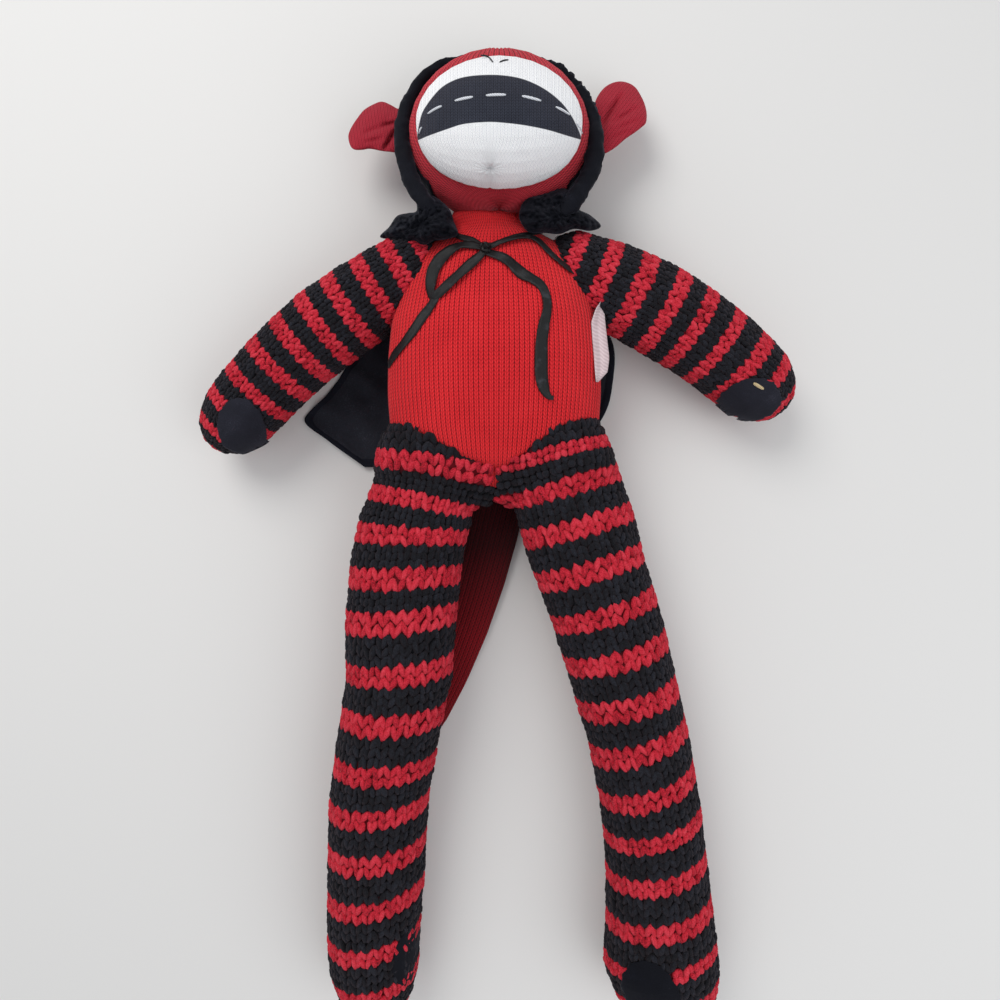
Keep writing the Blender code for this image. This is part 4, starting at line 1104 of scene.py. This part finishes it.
def hoodRim(facts):
    steps, sides = facts["rimSteps"], facts["rimSides"]
    level = (headCentre + face * facts["rimForward"]).dot(face) - cameraSeat.dot(face)
    aims = [photoRay(*place) for place in roundCurve(facts["rim"], steps + 1, False)]
    hearts = [cameraSeat + aim * (level / aim.dot(face)) for aim in aims]
    rings = []
    for number, heart in enumerate(hearts):
        run = (hearts[min(number + 1, steps)] - hearts[max(number - 1, 0)]).normalized()
        away = face.cross(run).normalized()
        away = away if away.dot(heart - headCentre) > 0 else -away
        taper = min(1.0, 0.35 + min(number, steps - number) / 10)
        wide = polyAt(facts["rimHalves"], number / steps) * mm
        # the gathered cloth is knobbly at the upper right
        knobs = smoothShare(number / steps, 0.58, 0.64) * (1 - smoothShare(number / steps, 0.72, 0.80))
        ring = []
        for turn in np.arange(sides) * 2 * math.pi / sides:
            c, s = math.cos(turn), math.sin(turn)
            rough = taper * (1 + 0.22 * noise.noise(Vector((number * 0.16, c * 1.2, s * 1.2)))
                             + (0.10 + 0.45 * knobs) * noise.noise(Vector((number * 0.5, c * 2.5, s * 2.5))))
            ring.append(tuple(heart + away * (wide * rough * c) + face * (facts["rimWide"] * rough * s)))
        rings.append(ring)
    return gridMesh("hoodRim", rings)


def velourCloth(name, plain, pale, pile=1400.0):
    cloth = Finish(name, 0.85, 0.15)
    level = cloth.total((cloth.noise(pile, 2.0, 0.6), 0.6), (cloth.noise(60.0, 3.0, 0.6), 0.5), clamp=False)
    colour = cloth.ramp(level, [(0.35, plain), (0.62, tuple(v * 1.5 for v in plain)), (0.85, pale)])
    return cloth.finish(colour, cloth.bump(level, 0.0004, 0.7), 0.07, 0.35, (0.70, 0.75, 1.0))


velour = velourCloth("blackVelour", (0.0024, 0.0027, 0.0052), (0.014, 0.016, 0.028))
patchVelour = velourCloth("patchVelour", (0.0110, 0.0112, 0.0170), (0.046, 0.046, 0.066))
dress(hoodShell(hoodFacts, headFacts["halves"]), "head", ("hood",), "black_velour", velour)
dress(hoodRim(hoodFacts), "head", ("hood_rim",), "black_velour", velour)


# Sewn-on soft forms: the CAD solid remeshed finely, rounded and roughened


def softForm(name, node, voxel, turns, grow, rough, scale, seed):
    work = bmesh.new()
    work.from_mesh(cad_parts[node].data)
    bmesh.ops.remove_doubles(work, verts=work.verts, dist=1e-5)
    mesh = bpy.data.meshes.new(name)
    work.to_mesh(mesh)
    work.free()
    made = placed(name, mesh)
    change = made.modifiers.new("fine", "REMESH")
    change.mode, change.voxel_size = "VOXEL", voxel
    soften = made.modifiers.new("round", "SMOOTH")
    soften.factor, soften.iterations = 0.5, turns
    made.data = evaluated(made)
    for corner in made.data.vertices:
        corner.co += corner.normal * (grow + rough * noise.noise(corner.co * scale + Vector((seed, seed, 0))))
    made.data.materials.clear()
    made.data.polygons.foreach_set("use_smooth", [True] * len(made.data.polygons))
    made.data.update()
    return made


def settle(piece, node, skin, move):
    # lay a patch on the knitted surface that it is sewn on, at its place and with its size in the photo
    solid = treeOf(node)
    places = np.array([tuple(corner.co) for corner in piece.data.vertices])
    heart = (places.min(axis=0) + places.max(axis=0)) / 2
    inside = Vector((heart[0] + move[0], heart[1] + move[1], heart[2] - 0.025))
    for corner in piece.data.vertices:
        spot, out, _, _ = solid.find_nearest(corner.co)
        high = min(max((corner.co - spot).dot(out), -0.0008), 0.0024)
        ragged = 1 + 0.05 * roughAt(90, corner.co.x, corner.co.y, 3)
        x, y = (heart[k] + move[k] + (corner.co[k] - heart[k]) * move[k + 2] * ragged for k in (0, 1))
        new = fromAbove(skin, x, y) or skin.find_nearest(Vector((x, y, 0.030)))[0]
        out = (new - inside).normalized() if high > 0 else Vector((0, 0, 1))
        corner.co = new + out * high
    piece.data.update()


# a patch's shift in m and its size along x and y, where the photo differs from the solid
patchMoves = {"leftHand": (0.0096, -0.0054, 0.82, 0.98), "rightHand": (0.0035, -0.0010, 1.16, 0.88)}
softFacts = {
    # slot, voxel, smoothing, roughness, roughness scale
    "patch": ("black_velour", 0.0009, 6, 0.0010, 260.0),
    "seam": ("striped_knit", 0.0008, 2, 0.0004, 300.0),
    "gather": ("red_knit", 0.0008, 2, 0.0006, 300.0),
}
softPieces = {
    # name: kind, solid, body, material, growth
    "leftHandPatch": ("patch", "left_hand_patch", "left_arm", patchVelour, 0.0008),
    "rightHandPatch": ("patch", "right_hand_patch", "right_arm", patchVelour, 0.0006),
    "leftFootPatch": ("patch", "left_foot_patch", "left_leg", velour, 0.0005),
    "rightFootPatch": ("patch", "right_foot_patch", "right_leg", velour, 0.0005),
    # the shoulder seams wear the dark under-yarn: painted shade of the gathered seams
    "leftShoulderSeam": ("seam", "left_shoulder_seam", "left_shoulder", under, 0.0),
    "rightShoulderSeam": ("seam", "right_shoulder_seam", "right_shoulder", under, 0.0),
    "neckGather": ("gather", "neck_seam", "neck_gather", redNeckPaintedShade, 0.0),
}
for name, (kind, node, rider, material, grow) in softPieces.items():
    slotName, voxel, turns, rough, scale = softFacts[kind]
    piece = softForm(name, node, voxel, turns, grow, rough, scale, len(name))
    if kind == "patch":
        side, limbs = rider.split("_")[0], arms if "arm" in rider else legs
        settle(piece, rider, limbs[side]["limb"].skin, patchMoves.get(name[:-5], (0, 0, 1, 1)))
    dress(piece, rider, (node,), slotName, material)


# Soft pads drawn from their outline in the photo, such as ears and gathered frills


def fromSegment(px, py, start, end):
    # distance in px from a stretch, and the share along it
    ax, ay = start
    bx, by = end
    dx, dy = bx - ax, by - ay
    share = ((px - ax) * dx + (py - ay) * dy) / (dx * dx + dy * dy)
    share = min(max(share, 0.0), 1.0)
    return math.hypot(px - ax - dx * share, py - ay - dy * share), share


def pad(name, outline, middle, thick, creases=(), around=96, rings=16, edge=0.55, waves=None, mapStep=None):
    curve = roundCurve(outline, around)
    heart = curve.mean(axis=0)
    grid = []
    for side in (1, -1):
        shares = np.sin(np.linspace(0.06, 1.0, rings) * math.pi / 2)
        if side < 0:
            shares = shares[-2::-1]
        for share in shares:
            ring = []
            for number in range(around):
                px, py = heart + (curve[number] - heart) * share
                high = thick / 2 * max(1 - share**2.4, 0.0) ** edge
                if side > 0:
                    for start, end, depth, wide in creases:
                        away, along = fromSegment(px, py, start, end)
                        fade = math.sin(math.pi * min(max(0.15 + along * 0.75, 0), 1))
                        high -= depth * math.exp(-((away / wide) ** 2)) * fade
                if waves:
                    high += waves(px, py, number / around, share) * (1 if side > 0 else 0.4)
                level = middle(px, py)
                ring.append(tuple(spotAt(px, py, level + side * high)))
            grid.append(ring)
    made = gridMesh(name, np.array(grid), (1, 1))
    if mapStep:
        turn, across, along = mapStep
        c, s = math.cos(turn), math.sin(turn)
        layer = made.data.uv_layers["knitMap"]
        for loop in made.data.loops:
            x, y, _ = made.data.vertices[loop.vertex_index].co
            layer.data[loop.index].uv = ((x * c + y * s) / across, (y * c - x * s) / along)
    return made


redEar = fineCloth("redEarKnit", ((0.07, 0.000, 0.003), (0.34, 0.009, 0.024), (0.52, 0.035, 0.060)), 0.35, 0.9, None,
                   0.92, 0.0004)
earFacts = {
    "left": {
        "outline": [(404, 112), (397, 108.5), (390, 104.5), (381.7, 101.6), (373, 104.5), (364, 110), (356.7, 119),
                    (351, 128), (348.3, 136),
                    (350, 145), (354, 149.5), (361.7, 150), (370, 148.9), (381.7, 151), (390, 152), (398, 152.6),
                    (404, 151)],
        "level": (0.0345, 120.0, 0.00026),
        "thick": 0.0105,
        "creases": [((385, 148), (396, 130), 0.0060, 2.2), ((383, 126), (400, 122), 0.0028, 2.2), ((365, 133),
                                                                                                   (388, 124), 0.0018, 2.4),
                    ((366, 142), (384, 138), 0.0018, 2.2), ((372, 112), (388, 117), -0.0008, 5.0)],
        "turn": math.radians(10),
    },
    "right": {
        "outline": [(594, 150), (592, 120), (594, 106), (597.5, 96.5), (604, 88), (612, 83), (621, 81.4),
                    (629.7, 83.5), (636, 88.0), (641, 96),
                    (644.7, 104), (646.7, 113.5), (646, 122.7), (642, 127), (634.7, 132.7), (625.5, 139), (616, 147),
                    (607, 152.7), (601, 154.2)],
        "level": (0.0305, 105.0, 0.00026),
        "thick": 0.0110,
        "creases": [((602, 126), (621, 95), 0.0060, 2.2), ((615, 122), (636, 108), 0.0026, 2.2), ((610, 132),
                                                                                                  (640, 119), 0.0022, 2.2),
                    ((606, 141), (628, 131), 0.0022, 2.2), ((603, 100), (600, 118), -0.0010, 5.0)],
        "turn": math.radians(-35),
    },
}
for side, facts in earFacts.items():
    low, from_, slope = facts["level"]
    ear = pad(f"{side}EarKnit", facts["outline"], lambda px, py: low + (py - from_) * slope, facts["thick"],
              facts["creases"], 112, 18, 0.5,
              lambda px, py, turn, share: 0.0006 * share * noise.noise(Vector((px * 0.12, py * 0.12, 3.1))),
              (facts["turn"], 0.0024, 0.0020))
    dress(ear, f"{side}_ear", (f"{side}_ear",), "red_knit", redEar)


# Tail: a flat knitted tube under the legs

tailFacts = {
    "root": (0.004, -0.088, 0.0079), "heading": -109.0, "length": 0.205, "bow": 0.006, "width": 0.042, "thick": 0.015,
    "shares": [(0.0, 1.0), (0.12, 0.95), (0.30, 0.80), (0.50, 0.68), (0.70, 0.54), (0.86, 0.44), (1.0, 0.34)],
    "rootCap": 0.016, "tipCap": 0.010, "start": -0.022, "past": 0.0145, "step": 0.0022, "across": 96, "wales": 24,
    "rowPitch": 0.0028, "ridge": 0.0003,
}


def tailPath(facts):
    turn = math.radians(facts["heading"])
    heading = Vector((math.cos(turn), math.sin(turn), 0))
    side = Vector((-heading.y, heading.x, 0))
    for number in range(21):
        t = number / 20 * 0.93
        deep = polyAt(facts["shares"], t)
        drop = Vector((0, 0, facts["thick"] / 2 * (deep - 1)))
        aside = side * (facts["bow"] * math.sin(math.pi * t))
        yield Vector(facts["root"]) + heading * (facts["length"] * t) + aside + drop


def makeTail(facts):
    limb, across, wales = Limb(treeOf("tail"), tailPath(facts), facts["rootCap"], facts["tipCap"]), facts["across"], facts["wales"]
    grid = relax(limbGrid(limb, facts["start"], limb.length + facts["past"], facts["step"], across, None, 3), 2)
    grid = grid - outward(grid) * (facts["ridge"] * ridges(across, wales))[None, :, None]
    return gridMesh("tailKnit", grid, (wales / across, facts["step"] / facts["rowPitch"]))


def shadedTailCloth(name):
    # painted shadow of the legs: a darker copy of the red knit, darkest near the root between the legs and lighter
    # towards the tip
    cloth = Finish(name, 0.95)
    height, grooveShade = fineStitches(cloth)
    level = cloth.math("SUBTRACT", height, cloth.math("MULTIPLY", grooveShade, 0.8), clamp=True)
    dark = cloth.ramp(level, [(0.1, (0.012, 0.000, 0.001)), (0.8, (0.050, 0.000, 0.002))])
    plain = cloth.ramp(level, [(0.1, (0.06, 0.000, 0.002)), (0.8, (0.26, 0.004, 0.010))])
    along = cloth.node("SeparateXYZ", (), _0=cloth.coords()).outputs[1]
    share = cloth.math("MULTIPLY_ADD", along, -14.0, -1.75, clamp=True)
    return cloth.finish(cloth.blend(share, dark, plain), cloth.bump(height, 0.0005, 0.8), 0.03)


dress(makeTail(tailFacts), "tail", ("tail",), "red_knit", shadedTailCloth("redTailShadowKnit"))


# Ribbons: narrow satin strips laid on the body along their lines in the photo


def satinCloth(name):
    cloth = Finish(name, 0.42, 0.32)
    weave = cloth.bands("Y", 0.9, 1.5, cloth.knitMap())
    # painted highlights: pale blotches from noise stand in for light caught on the satin
    spots = cloth.math("MULTIPLY", cloth.math("SUBTRACT", cloth.noise(150.0), 0.55), 3.0, clamp=True)
    level = cloth.total((weave, 0.30), (cloth.noise(900.0, 2.0, 0.6), 0.50), (spots, 1.0))
    stops = [(0.20, (0.0010, 0.0011, 0.0014)), (0.55, (0.0034, 0.0038, 0.0044)), (0.95, (0.026, 0.028, 0.034))]
    return cloth.finish(cloth.ramp(level, stops), cloth.bump(level, 0.0003, 0.7), 0.02)


stripFacts = {
    "thick": 0.0006,
    "step": 0.0011,
    "fallback": 0.070,
    "pxWide": 0.66 * mm,
    "section": [(-1, -0.5), (-0.5, -0.5), (0, -0.5), (0.5, -0.5), (1, -0.5), (1, 0.5), (0.5, 0.5), (0, 0.5), (-0.5, 0.5),
                (-1, 0.5)],
}


def strip(name, line, facts, seed):
    # each point of the line is px, py, width in px, lift in mm, twist in degrees
    flat = [point[:2] for point in line]
    run = runOf(flat)
    count = max(int(run[-1] * facts["pxWide"] / facts["step"]), 8)
    width, lift, twist = readEach(np.linspace(0, run[-1], count), run, np.array([point[2:] for point in line], dtype=float)).T
    places = [surfaceAt(px, py, bodyTree, facts["fallback"]) for px, py in roundCurve(flat, count, False)]
    spots, outs = (np.array([tuple(place[k]) for place in places]) for k in (0, 1))
    for _ in range(6):
        outs[1:-1] = (outs[:-2] + outs[1:-1] + outs[2:]) / 3
    outs /= np.linalg.norm(outs, axis=1, keepdims=True)
    spots = spots + outs * (lift * mm)[:, None]
    for _ in range(3):
        spots[1:-1] = (spots[:-2] + 2 * spots[1:-1] + spots[2:]) / 4
    runs = np.gradient(spots, axis=0)
    runs /= np.linalg.norm(runs, axis=1, keepdims=True)
    grid = []
    for number in range(count):
        along, out = Vector(runs[number]), Vector(outs[number])
        side = along.cross(out).normalized()
        turn = math.radians(twist[number])
        across = side * math.cos(turn) + out * math.sin(turn)
        up = across.cross(along).normalized()
        half = width[number] * facts["pxWide"] / 2
        ring = []
        for x, y in facts["section"]:
            bend = 0.00018 * noise.noise(Vector((number * 0.22, x * 1.5, seed)))
            ring.append(tuple(Vector(spots[number]) + across * (half * x) + up * (facts["thick"] * y + bend)))
        grid.append(ring)
    return gridMesh(name, grid, (1 / 10, facts["step"] * 1000))


ribbons = {
    "leftNeckRibbon": ("left_neck_ribbon", [(446, 231, 7, 1.0, 0), (457.5, 237, 7.5, 1.2, 8),
                                            (472.5, 241.5, 7, 1.2, -6), (483, 249, 5, 2.2, 0)]),
    "rightNeckRibbon": ("right_neck_ribbon", [(540, 233.5, 5.5, 1.0, 0), (532.5, 235, 5.5, 1.2, -10),
                                              (517.5, 237.5, 5.5, 1.4, 10),
                                                  (501, 243, 5.6, 1.6, -8), (486, 249.5, 5, 2.4, 0)]),
    "leftBowLoop": ("left_bow_loop", [(482, 250, 6, 2.2, 0), (473, 247.5, 8.5, 2.4, 10), (462, 247.5, 9, 2.4, -8),
                                      (451, 253, 11, 2.8, 14),
                                         (441.5, 262, 12.5, 3.2, 20), (435, 273, 13, 3.0, 14),
                                         (432, 286, 11.5, 2.4, 0), (433, 298, 8.5, 1.8, -30),
                                         (440, 295, 9, 2.4, -20), (449, 286, 11, 2.6, 6), (459, 277, 11, 2.6, 10),
                                         (470, 266.5, 10.5, 2.4, -6),
                                         (478, 259.5, 9.5, 2.4, 0), (485, 252.5, 6, 2.4, 0)]),
    "rightBowLoop": ("right_bow_loop", [(488, 251, 5, 2.6, 0), (502, 244.5, 5, 3.0, 0), (517, 240.5, 5, 3.0, 12),
                                        (530, 240, 5.5, 2.8, 0),
                                           (539, 244.5, 6.0, 2.4, -10), (547, 253, 6.2, 2.2, -14),
                                           (557, 261.5, 6.6, 2.0, 8),
                                           (569, 271, 7.2, 1.8, 0), (580, 276, 7.0, 1.4, 0)]),
    "leftRibbonTail": ("left_ribbon_tail", [(437, 296, 9, 1.0, 0), (431, 307, 10, 1.0, -8), (424, 316, 10, 1.0, 10),
                                            (414, 331, 10.5, 1.0, 4),
                                               (402.5, 346, 10.5, 0.9, -6), (395, 355.5, 10, 0.9, 0),
                                               (389.5, 365, 8.5, 0.8, 0)]),
    "rightRibbonTail": ("right_ribbon_tail", [(484, 253, 7, 2.0, 0), (493, 255.5, 9, 1.8, 8),
                                              (502, 258.5, 9.5, 1.8, -14), (511.5, 265, 12, 1.8, 16),
                                                 (521, 274.5, 12, 1.8, -16), (532, 280, 11, 1.6, 10),
                                                 (541, 286.5, 9.5, 1.2, -12),
                                                 (546, 297.5, 9, 1.0, 0), (547, 310, 9.5, 0.9, 12),
                                                 (543.5, 325, 11, 0.9, -8),
                                                 (541.5, 341, 12.5, 0.9, 6), (541, 360, 13.2, 0.9, -4),
                                                 (541.5, 379, 13.2, 0.9, 4),
                                                 (544, 389, 10.5, 1.0, 0), (548, 396.5, 6, 1.2, 0),
                                                 (553, 398, 3.5, 1.4, 0)]),
}
satin = satinCloth("blackSatin")
for name, (node, line) in ribbons.items():
    dress(strip(name, line, stripFacts, len(name)), "torso", (node,), "black_satin", satin)
dress(softForm("bowKnot", "bow_knot", 0.0006, 2, -0.0008, 0.0026, 300.0, 2.0), "torso", ("bow_knot",), "black_satin", satin)


# Gathered velour frills at the neck, one on each shoulder

frillFacts = {
    "left": {
        "outline": [(380, 237), (389, 227), (397, 216), (408, 213), (416.5, 211), (417.5, 199), (429, 194.5),
                    (441, 201), (450, 210), (454, 222),
                    (458, 234), (448, 239), (434, 241), (425, 245), (410, 244), (395, 240)],
        "high": 0.066, "slopeX": 0.00026, "thick": 0.036,
    },
    "right": {
        "outline": [(525, 229), (519, 216), (525, 200), (543, 194), (560, 187.5), (571, 193), (577, 208), (590, 215),
                    (601, 226),
                    (590, 231), (574, 229), (560, 234), (545, 233), (532, 233)],
        "high": 0.066, "slopeX": -0.00026, "thick": 0.036,
    },
}
for side, facts in frillFacts.items():
    heart = 421 if side == "left" else 559

    def frillWave(px, py, turn, share, facts=facts, heart=heart):
        fold = math.sin(turn * 2 * math.pi * 9 + 2.2 * math.sin(turn * 11)) * share
        rough = noise.noise(Vector((px * 0.10, py * 0.10, heart)))
        fine = noise.noise(Vector((px * 0.30, py * 0.30, heart * 2)))
        fluff = noise.noise(Vector((px * 0.85, py * 0.85, heart)))
        return 0.0016 * fold * share + 0.0048 * rough + 0.0030 * fine + 0.0011 * fluff

    frill = pad(f"{side}Frill", facts["outline"], lambda px, py: facts["high"] + (px - heart) * facts["slopeX"],
                facts["thick"], (), 170, 32, 0.45, frillWave)
    dress(frill, "torso", (f"{side}_collar_ruffle",), "black_velour", velour)


# White running stitches on the band, and the two short black strokes above it


def threadCloth(name, plain, deep):
    cloth = Finish(name, 0.7)
    # the twist is drawn as bands of the deep colour: painted shade between the plies of the thread
    twist = cloth.bands("DIAGONAL", 380.0, 0.6)
    return cloth.finish(cloth.blend(twist, deep, plain), cloth.bump(twist, 0.0003, 0.8), 0.2)


whiteThread = threadCloth("whiteThread", (0.86, 0.87, 0.90), (0.50, 0.53, 0.60))
blackThread = threadCloth("blackThread", (0.020, 0.020, 0.026), (0.004, 0.004, 0.006))
yellowThread = threadCloth("yellowThread", (0.72, 0.58, 0.34), (0.42, 0.30, 0.14))
patchTree = treeFrom(bpy.data.objects["rightHandPatch"].data)
strokes = {
    "bandStitches": ("head", "white_tape", whiteThread, 3.0, [
        [(428, 114), (435, 109.3), (442, 106)], [(455, 101), (464, 98.7), (473, 97)], [(486, 95.7), (496, 95), (506, 95)],
        [(522, 96.2), (531, 98.2), (541, 101)], [(555.5, 107), (563, 110.7), (569.5, 115)],
        [(419.5, 133.5), (420.5, 130), (422, 127)], [(576.5, 123.5), (579.5, 128.5), (582, 133.5)]]),
    "noseStrokes": ("head", "black_knit", blackThread, 2.2, [
        [(480.5, 55.5), (487, 56.5), (490.5, 59.5), (493, 62.5)], [(499.5, 62.5), (504, 60.8), (508.5, 60.2)]]),
    "handThread": ("right_arm", "white_tape", yellowThread, 4.0, [[(753.5, 383), (758.5, 386), (763.5, 389)]]),
}
for name, (rider, slotName, material, wide, strokeLines) in strokes.items():
    tree, fallback = (muzzleTree, 0.10) if rider == "head" else (patchTree, 0.06)
    made = []
    for number, line in enumerate(strokeLines):
        points = roundCurve(line, 9, False)
        rings = []
        for step, (px, py) in enumerate(points):
            spot, out = surfaceAt(px, py, tree, fallback)
            ahead = points[min(step + 1, 8)] - points[max(step - 1, 0)]
            along = Vector((ahead[0], -ahead[1], 0)).normalized()
            side = along.cross(out).normalized()
            size = wide * 0.6 * mm / 2 * math.sin(math.pi * (0.16 + 0.68 * step / 8)) ** 0.5
            size *= 0.75 if step in (0, 8) else 1
            heart = spot + out * 0.0003
            rings.append([tuple(heart + side * (size * math.cos(a)) + out * (size * 0.75 * math.sin(a)))
                          for a in np.arange(10) * math.pi / 5])
        made.append(gridMesh(f"{name}{number}", rings, (1, 1)))
    dress(joinPieces(name, made), rider, (), slotName, material)


# Care tag, a blank folded slip


def tapeCloth(name):
    cloth = Finish(name, 0.7)
    level = cloth.total((cloth.bands("DIAGONAL", 260.0, 0.3), 0.4), (cloth.noise(120.0, 3.0), 0.6), clamp=False)
    colour = cloth.ramp(level, [(0.2, (0.56, 0.43, 0.45)), (0.6, (0.70, 0.56, 0.58)), (0.9, (0.80, 0.69, 0.71))])
    return cloth.finish(colour, cloth.bump(level, 0.0002, 0.5), 0.1)


tagFacts = {
    # photo outline of the folded slip from its top end down, as left and right px at each height, and its height in m
    "edges": [(301.0, 601.0, 602.5), (308.0, 596.0, 604.0), (322.0, 591.2, 605.3), (340.0, 592.3, 607.3),
              (358.0, 594.0, 609.4),
              (372.0, 595.0, 607.6), (382.0, 596.0, 598.4)],
    "low": 0.0715, "rise": 0.0008, "thick": 0.0011, "rows": 26, "steps": 9,
}


def tagPiece(facts):
    rings = []
    at, lefts, rights = zip(*facts["edges"])
    for py in at[0] + (at[-1] - at[0]) * np.arange(facts["rows"]) / (facts["rows"] - 1):
        left, right = np.interp(py, at, lefts), np.interp(py, at, rights)
        ring = []
        for side in (1, -1):
            for step in range(facts["steps"])[::side]:
                share = step / (facts["steps"] - 1)
                # the free edge curls up, with a fold down the middle of the slip
                level = facts["low"] - 0.0070 * share - 0.0016 * math.exp(-(((share - 0.45) / 0.12) ** 2))
                level += facts["rise"] * noise.noise(Vector((py * 0.05, share * 2.0, 5.0))) + side * facts["thick"] / 2
                ring.append(tuple(spotAt(left + (right - left) * share, py, level)))
        rings.append(ring)
    return gridMesh("careTag", rings)


dress(tagPiece(tagFacts), "torso", ("care_tag",), "white_tape", tapeCloth("careTape"))


# Cape: a flared velour panel laid out under the body, hemmed round its edge

capeFacts = {
    "top": 0.099, "drop": 0.166, "half": 0.090, "thick": 0.0010, "across": 150, "down": 130,
    "left": [(0.0, -0.42), (0.12, -0.72), (0.28, -0.98), (0.52, -1.28), (0.66, -1.47), (0.765, -1.64), (0.86, -1.44),
             (0.985, -1.12)],
    "right": [(0.0, 0.42), (0.12, 0.66), (0.28, 0.90), (0.42, 1.02), (0.62, 1.01), (0.78, 0.90), (0.92, 0.62),
              (0.985, 0.20)],
}


def capeSpot(u, v, low):
    facts = capeFacts
    v = 0.985 * v
    left, right = curveAt(facts["left"], v) * facts["half"], curveAt(facts["right"], v) * facts["half"]
    x, y = left + (right - left) * u, facts["top"] - v * facts["drop"]
    free = smoothShare(-x, 0.074, 0.100) + smoothShare(x, 0.076, 0.090)
    fold = 0.5 + 0.5 * math.sin((x * 0.55 + y * 0.85) * 210 + 2.0 * noise.noise(Vector((x * 30, y * 30, 1))))
    fold = 0.0034 * fold * free + 0.0012 * free * noise.noise(Vector((x * 60, y * 60, 4)))
    edge = min(u * (right - left), (1 - u) * (right - left), (1 - v / 0.985) * facts["drop"], 1.0)
    seam = -0.0006 * math.exp(-(((edge - 0.0062) / 0.0009) ** 2)) + 0.0004 * smoothShare(-edge, -0.0055, -0.0035)
    if low:
        return (x, y, 0.00005 + max(fold, 0) * 0.8)
    return (x, y, 0.00005 + facts["thick"] + max(fold, 0) + seam)


across, downs = np.linspace(0, 1, capeFacts["across"]), np.linspace(0, 1, capeFacts["down"])
rings = [[capeSpot(u, v, False) for u in across] + [capeSpot(u, v, True) for u in across[::-1]] for v in downs]
wide, tall = capeFacts["across"], capeFacts["down"]
caps = []
for row, turn in ((0, 1), (tall - 1, -1)):
    for step in range(wide - 1):
        a, b = row * 2 * wide + step, row * 2 * wide + 2 * wide - 1 - step
        caps.append((a, a + 1, b - 1, b)[::turn])
cape = outFacing(gridMesh("capeVelour", rings, None, False), caps)
cape.data.materials.append(velourCloth("capeVelour", (0.0150, 0.0160, 0.0220), (0.058, 0.062, 0.080), 900.0))
cape.data.materials.append(velourCloth("capeHem", (0.0060, 0.0070, 0.0120), (0.026, 0.029, 0.042), 900.0))
# the hem is darker
for patch in cape.data.polygons:
    x, y = patch.center[:2]
    v = (capeFacts["top"] - y) / capeFacts["drop"]
    left, right = (curveAt(capeFacts[side], v) * capeFacts["half"] for side in ("left", "right"))
    patch.material_index = 1 if min(x - left, right - x, (0.985 - v) * capeFacts["drop"]) < 0.0060 else 0
dress(cape, "cape", ("cape",), "black_velour")


# Eyes: two small shank buttons on the crown, behind the muzzle as the photo hides them

eyeFacts = {
    "spread": 0.0115, "height": 0.0445, "radius": 0.0046, "thick": 0.0017, "sides": 40,
    "profile": [(0.0, 0.90), (0.25, 1.0), (0.60, 0.99), (0.82, 0.92), (0.90, 0.80), (0.86, 0.66), (0.90, 0.45),
                (0.95, 0.2)],
}
gloss = Finish("blackButton", 0.22)
grain = gloss.noise(500.0)
gloss.finish(gloss.ramp(grain, [(0.3, (0.003, 0.003, 0.004)),
                                (0.7, (0.006, 0.006, 0.007))]), gloss.bump(grain, 0.00004, 0.3))
headTree = treeOf("head")
for sign, side in ((-1, "left"), (1, "right")):
    x = headFacts["centre"][0] + sign * eyeFacts["spread"]
    spot, out, _, _ = headTree.ray_cast(Vector((x, 0.35, eyeFacts["height"])), Vector((0, -1, 0)))
    out = out if out.y > 0 else -out
    across = out.orthogonal().normalized()
    up = out.cross(across)
    turn = np.arange(eyeFacts["sides"]) * 2 * math.pi / eyeFacts["sides"]
    rings = [[tuple(spot + out * (eyeFacts["thick"] * high - 0.0006)
                    + (across * math.cos(a) + up * math.sin(a)) * (eyeFacts["radius"] * wide)) for a in turn]
             for high, wide in eyeFacts["profile"]]
    dress(gridMesh(f"{side}EyeButton", rings), "head", (f"{side}_eye",), "black_button", gloss.material)


# The room's floor, under the doll as a pale blanket was

floorMesh = bpy.data.meshes.new("floor")
half = viewSetup["floorSize"] / 2
floorMesh.from_pydata([(-half, -half, 0), (half, -half, 0), (half, half, 0), (-half, half, 0)], [], [(0, 1, 2, 3)])
floorMesh.materials.append(Finish("paleFloor", 0.9).finish(viewSetup["floorColour"]))
placed("floor", floorMesh)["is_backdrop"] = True

size = {"cad": [list(corner) for corner in cadBox], "dressed": [list(corner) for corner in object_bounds()]}
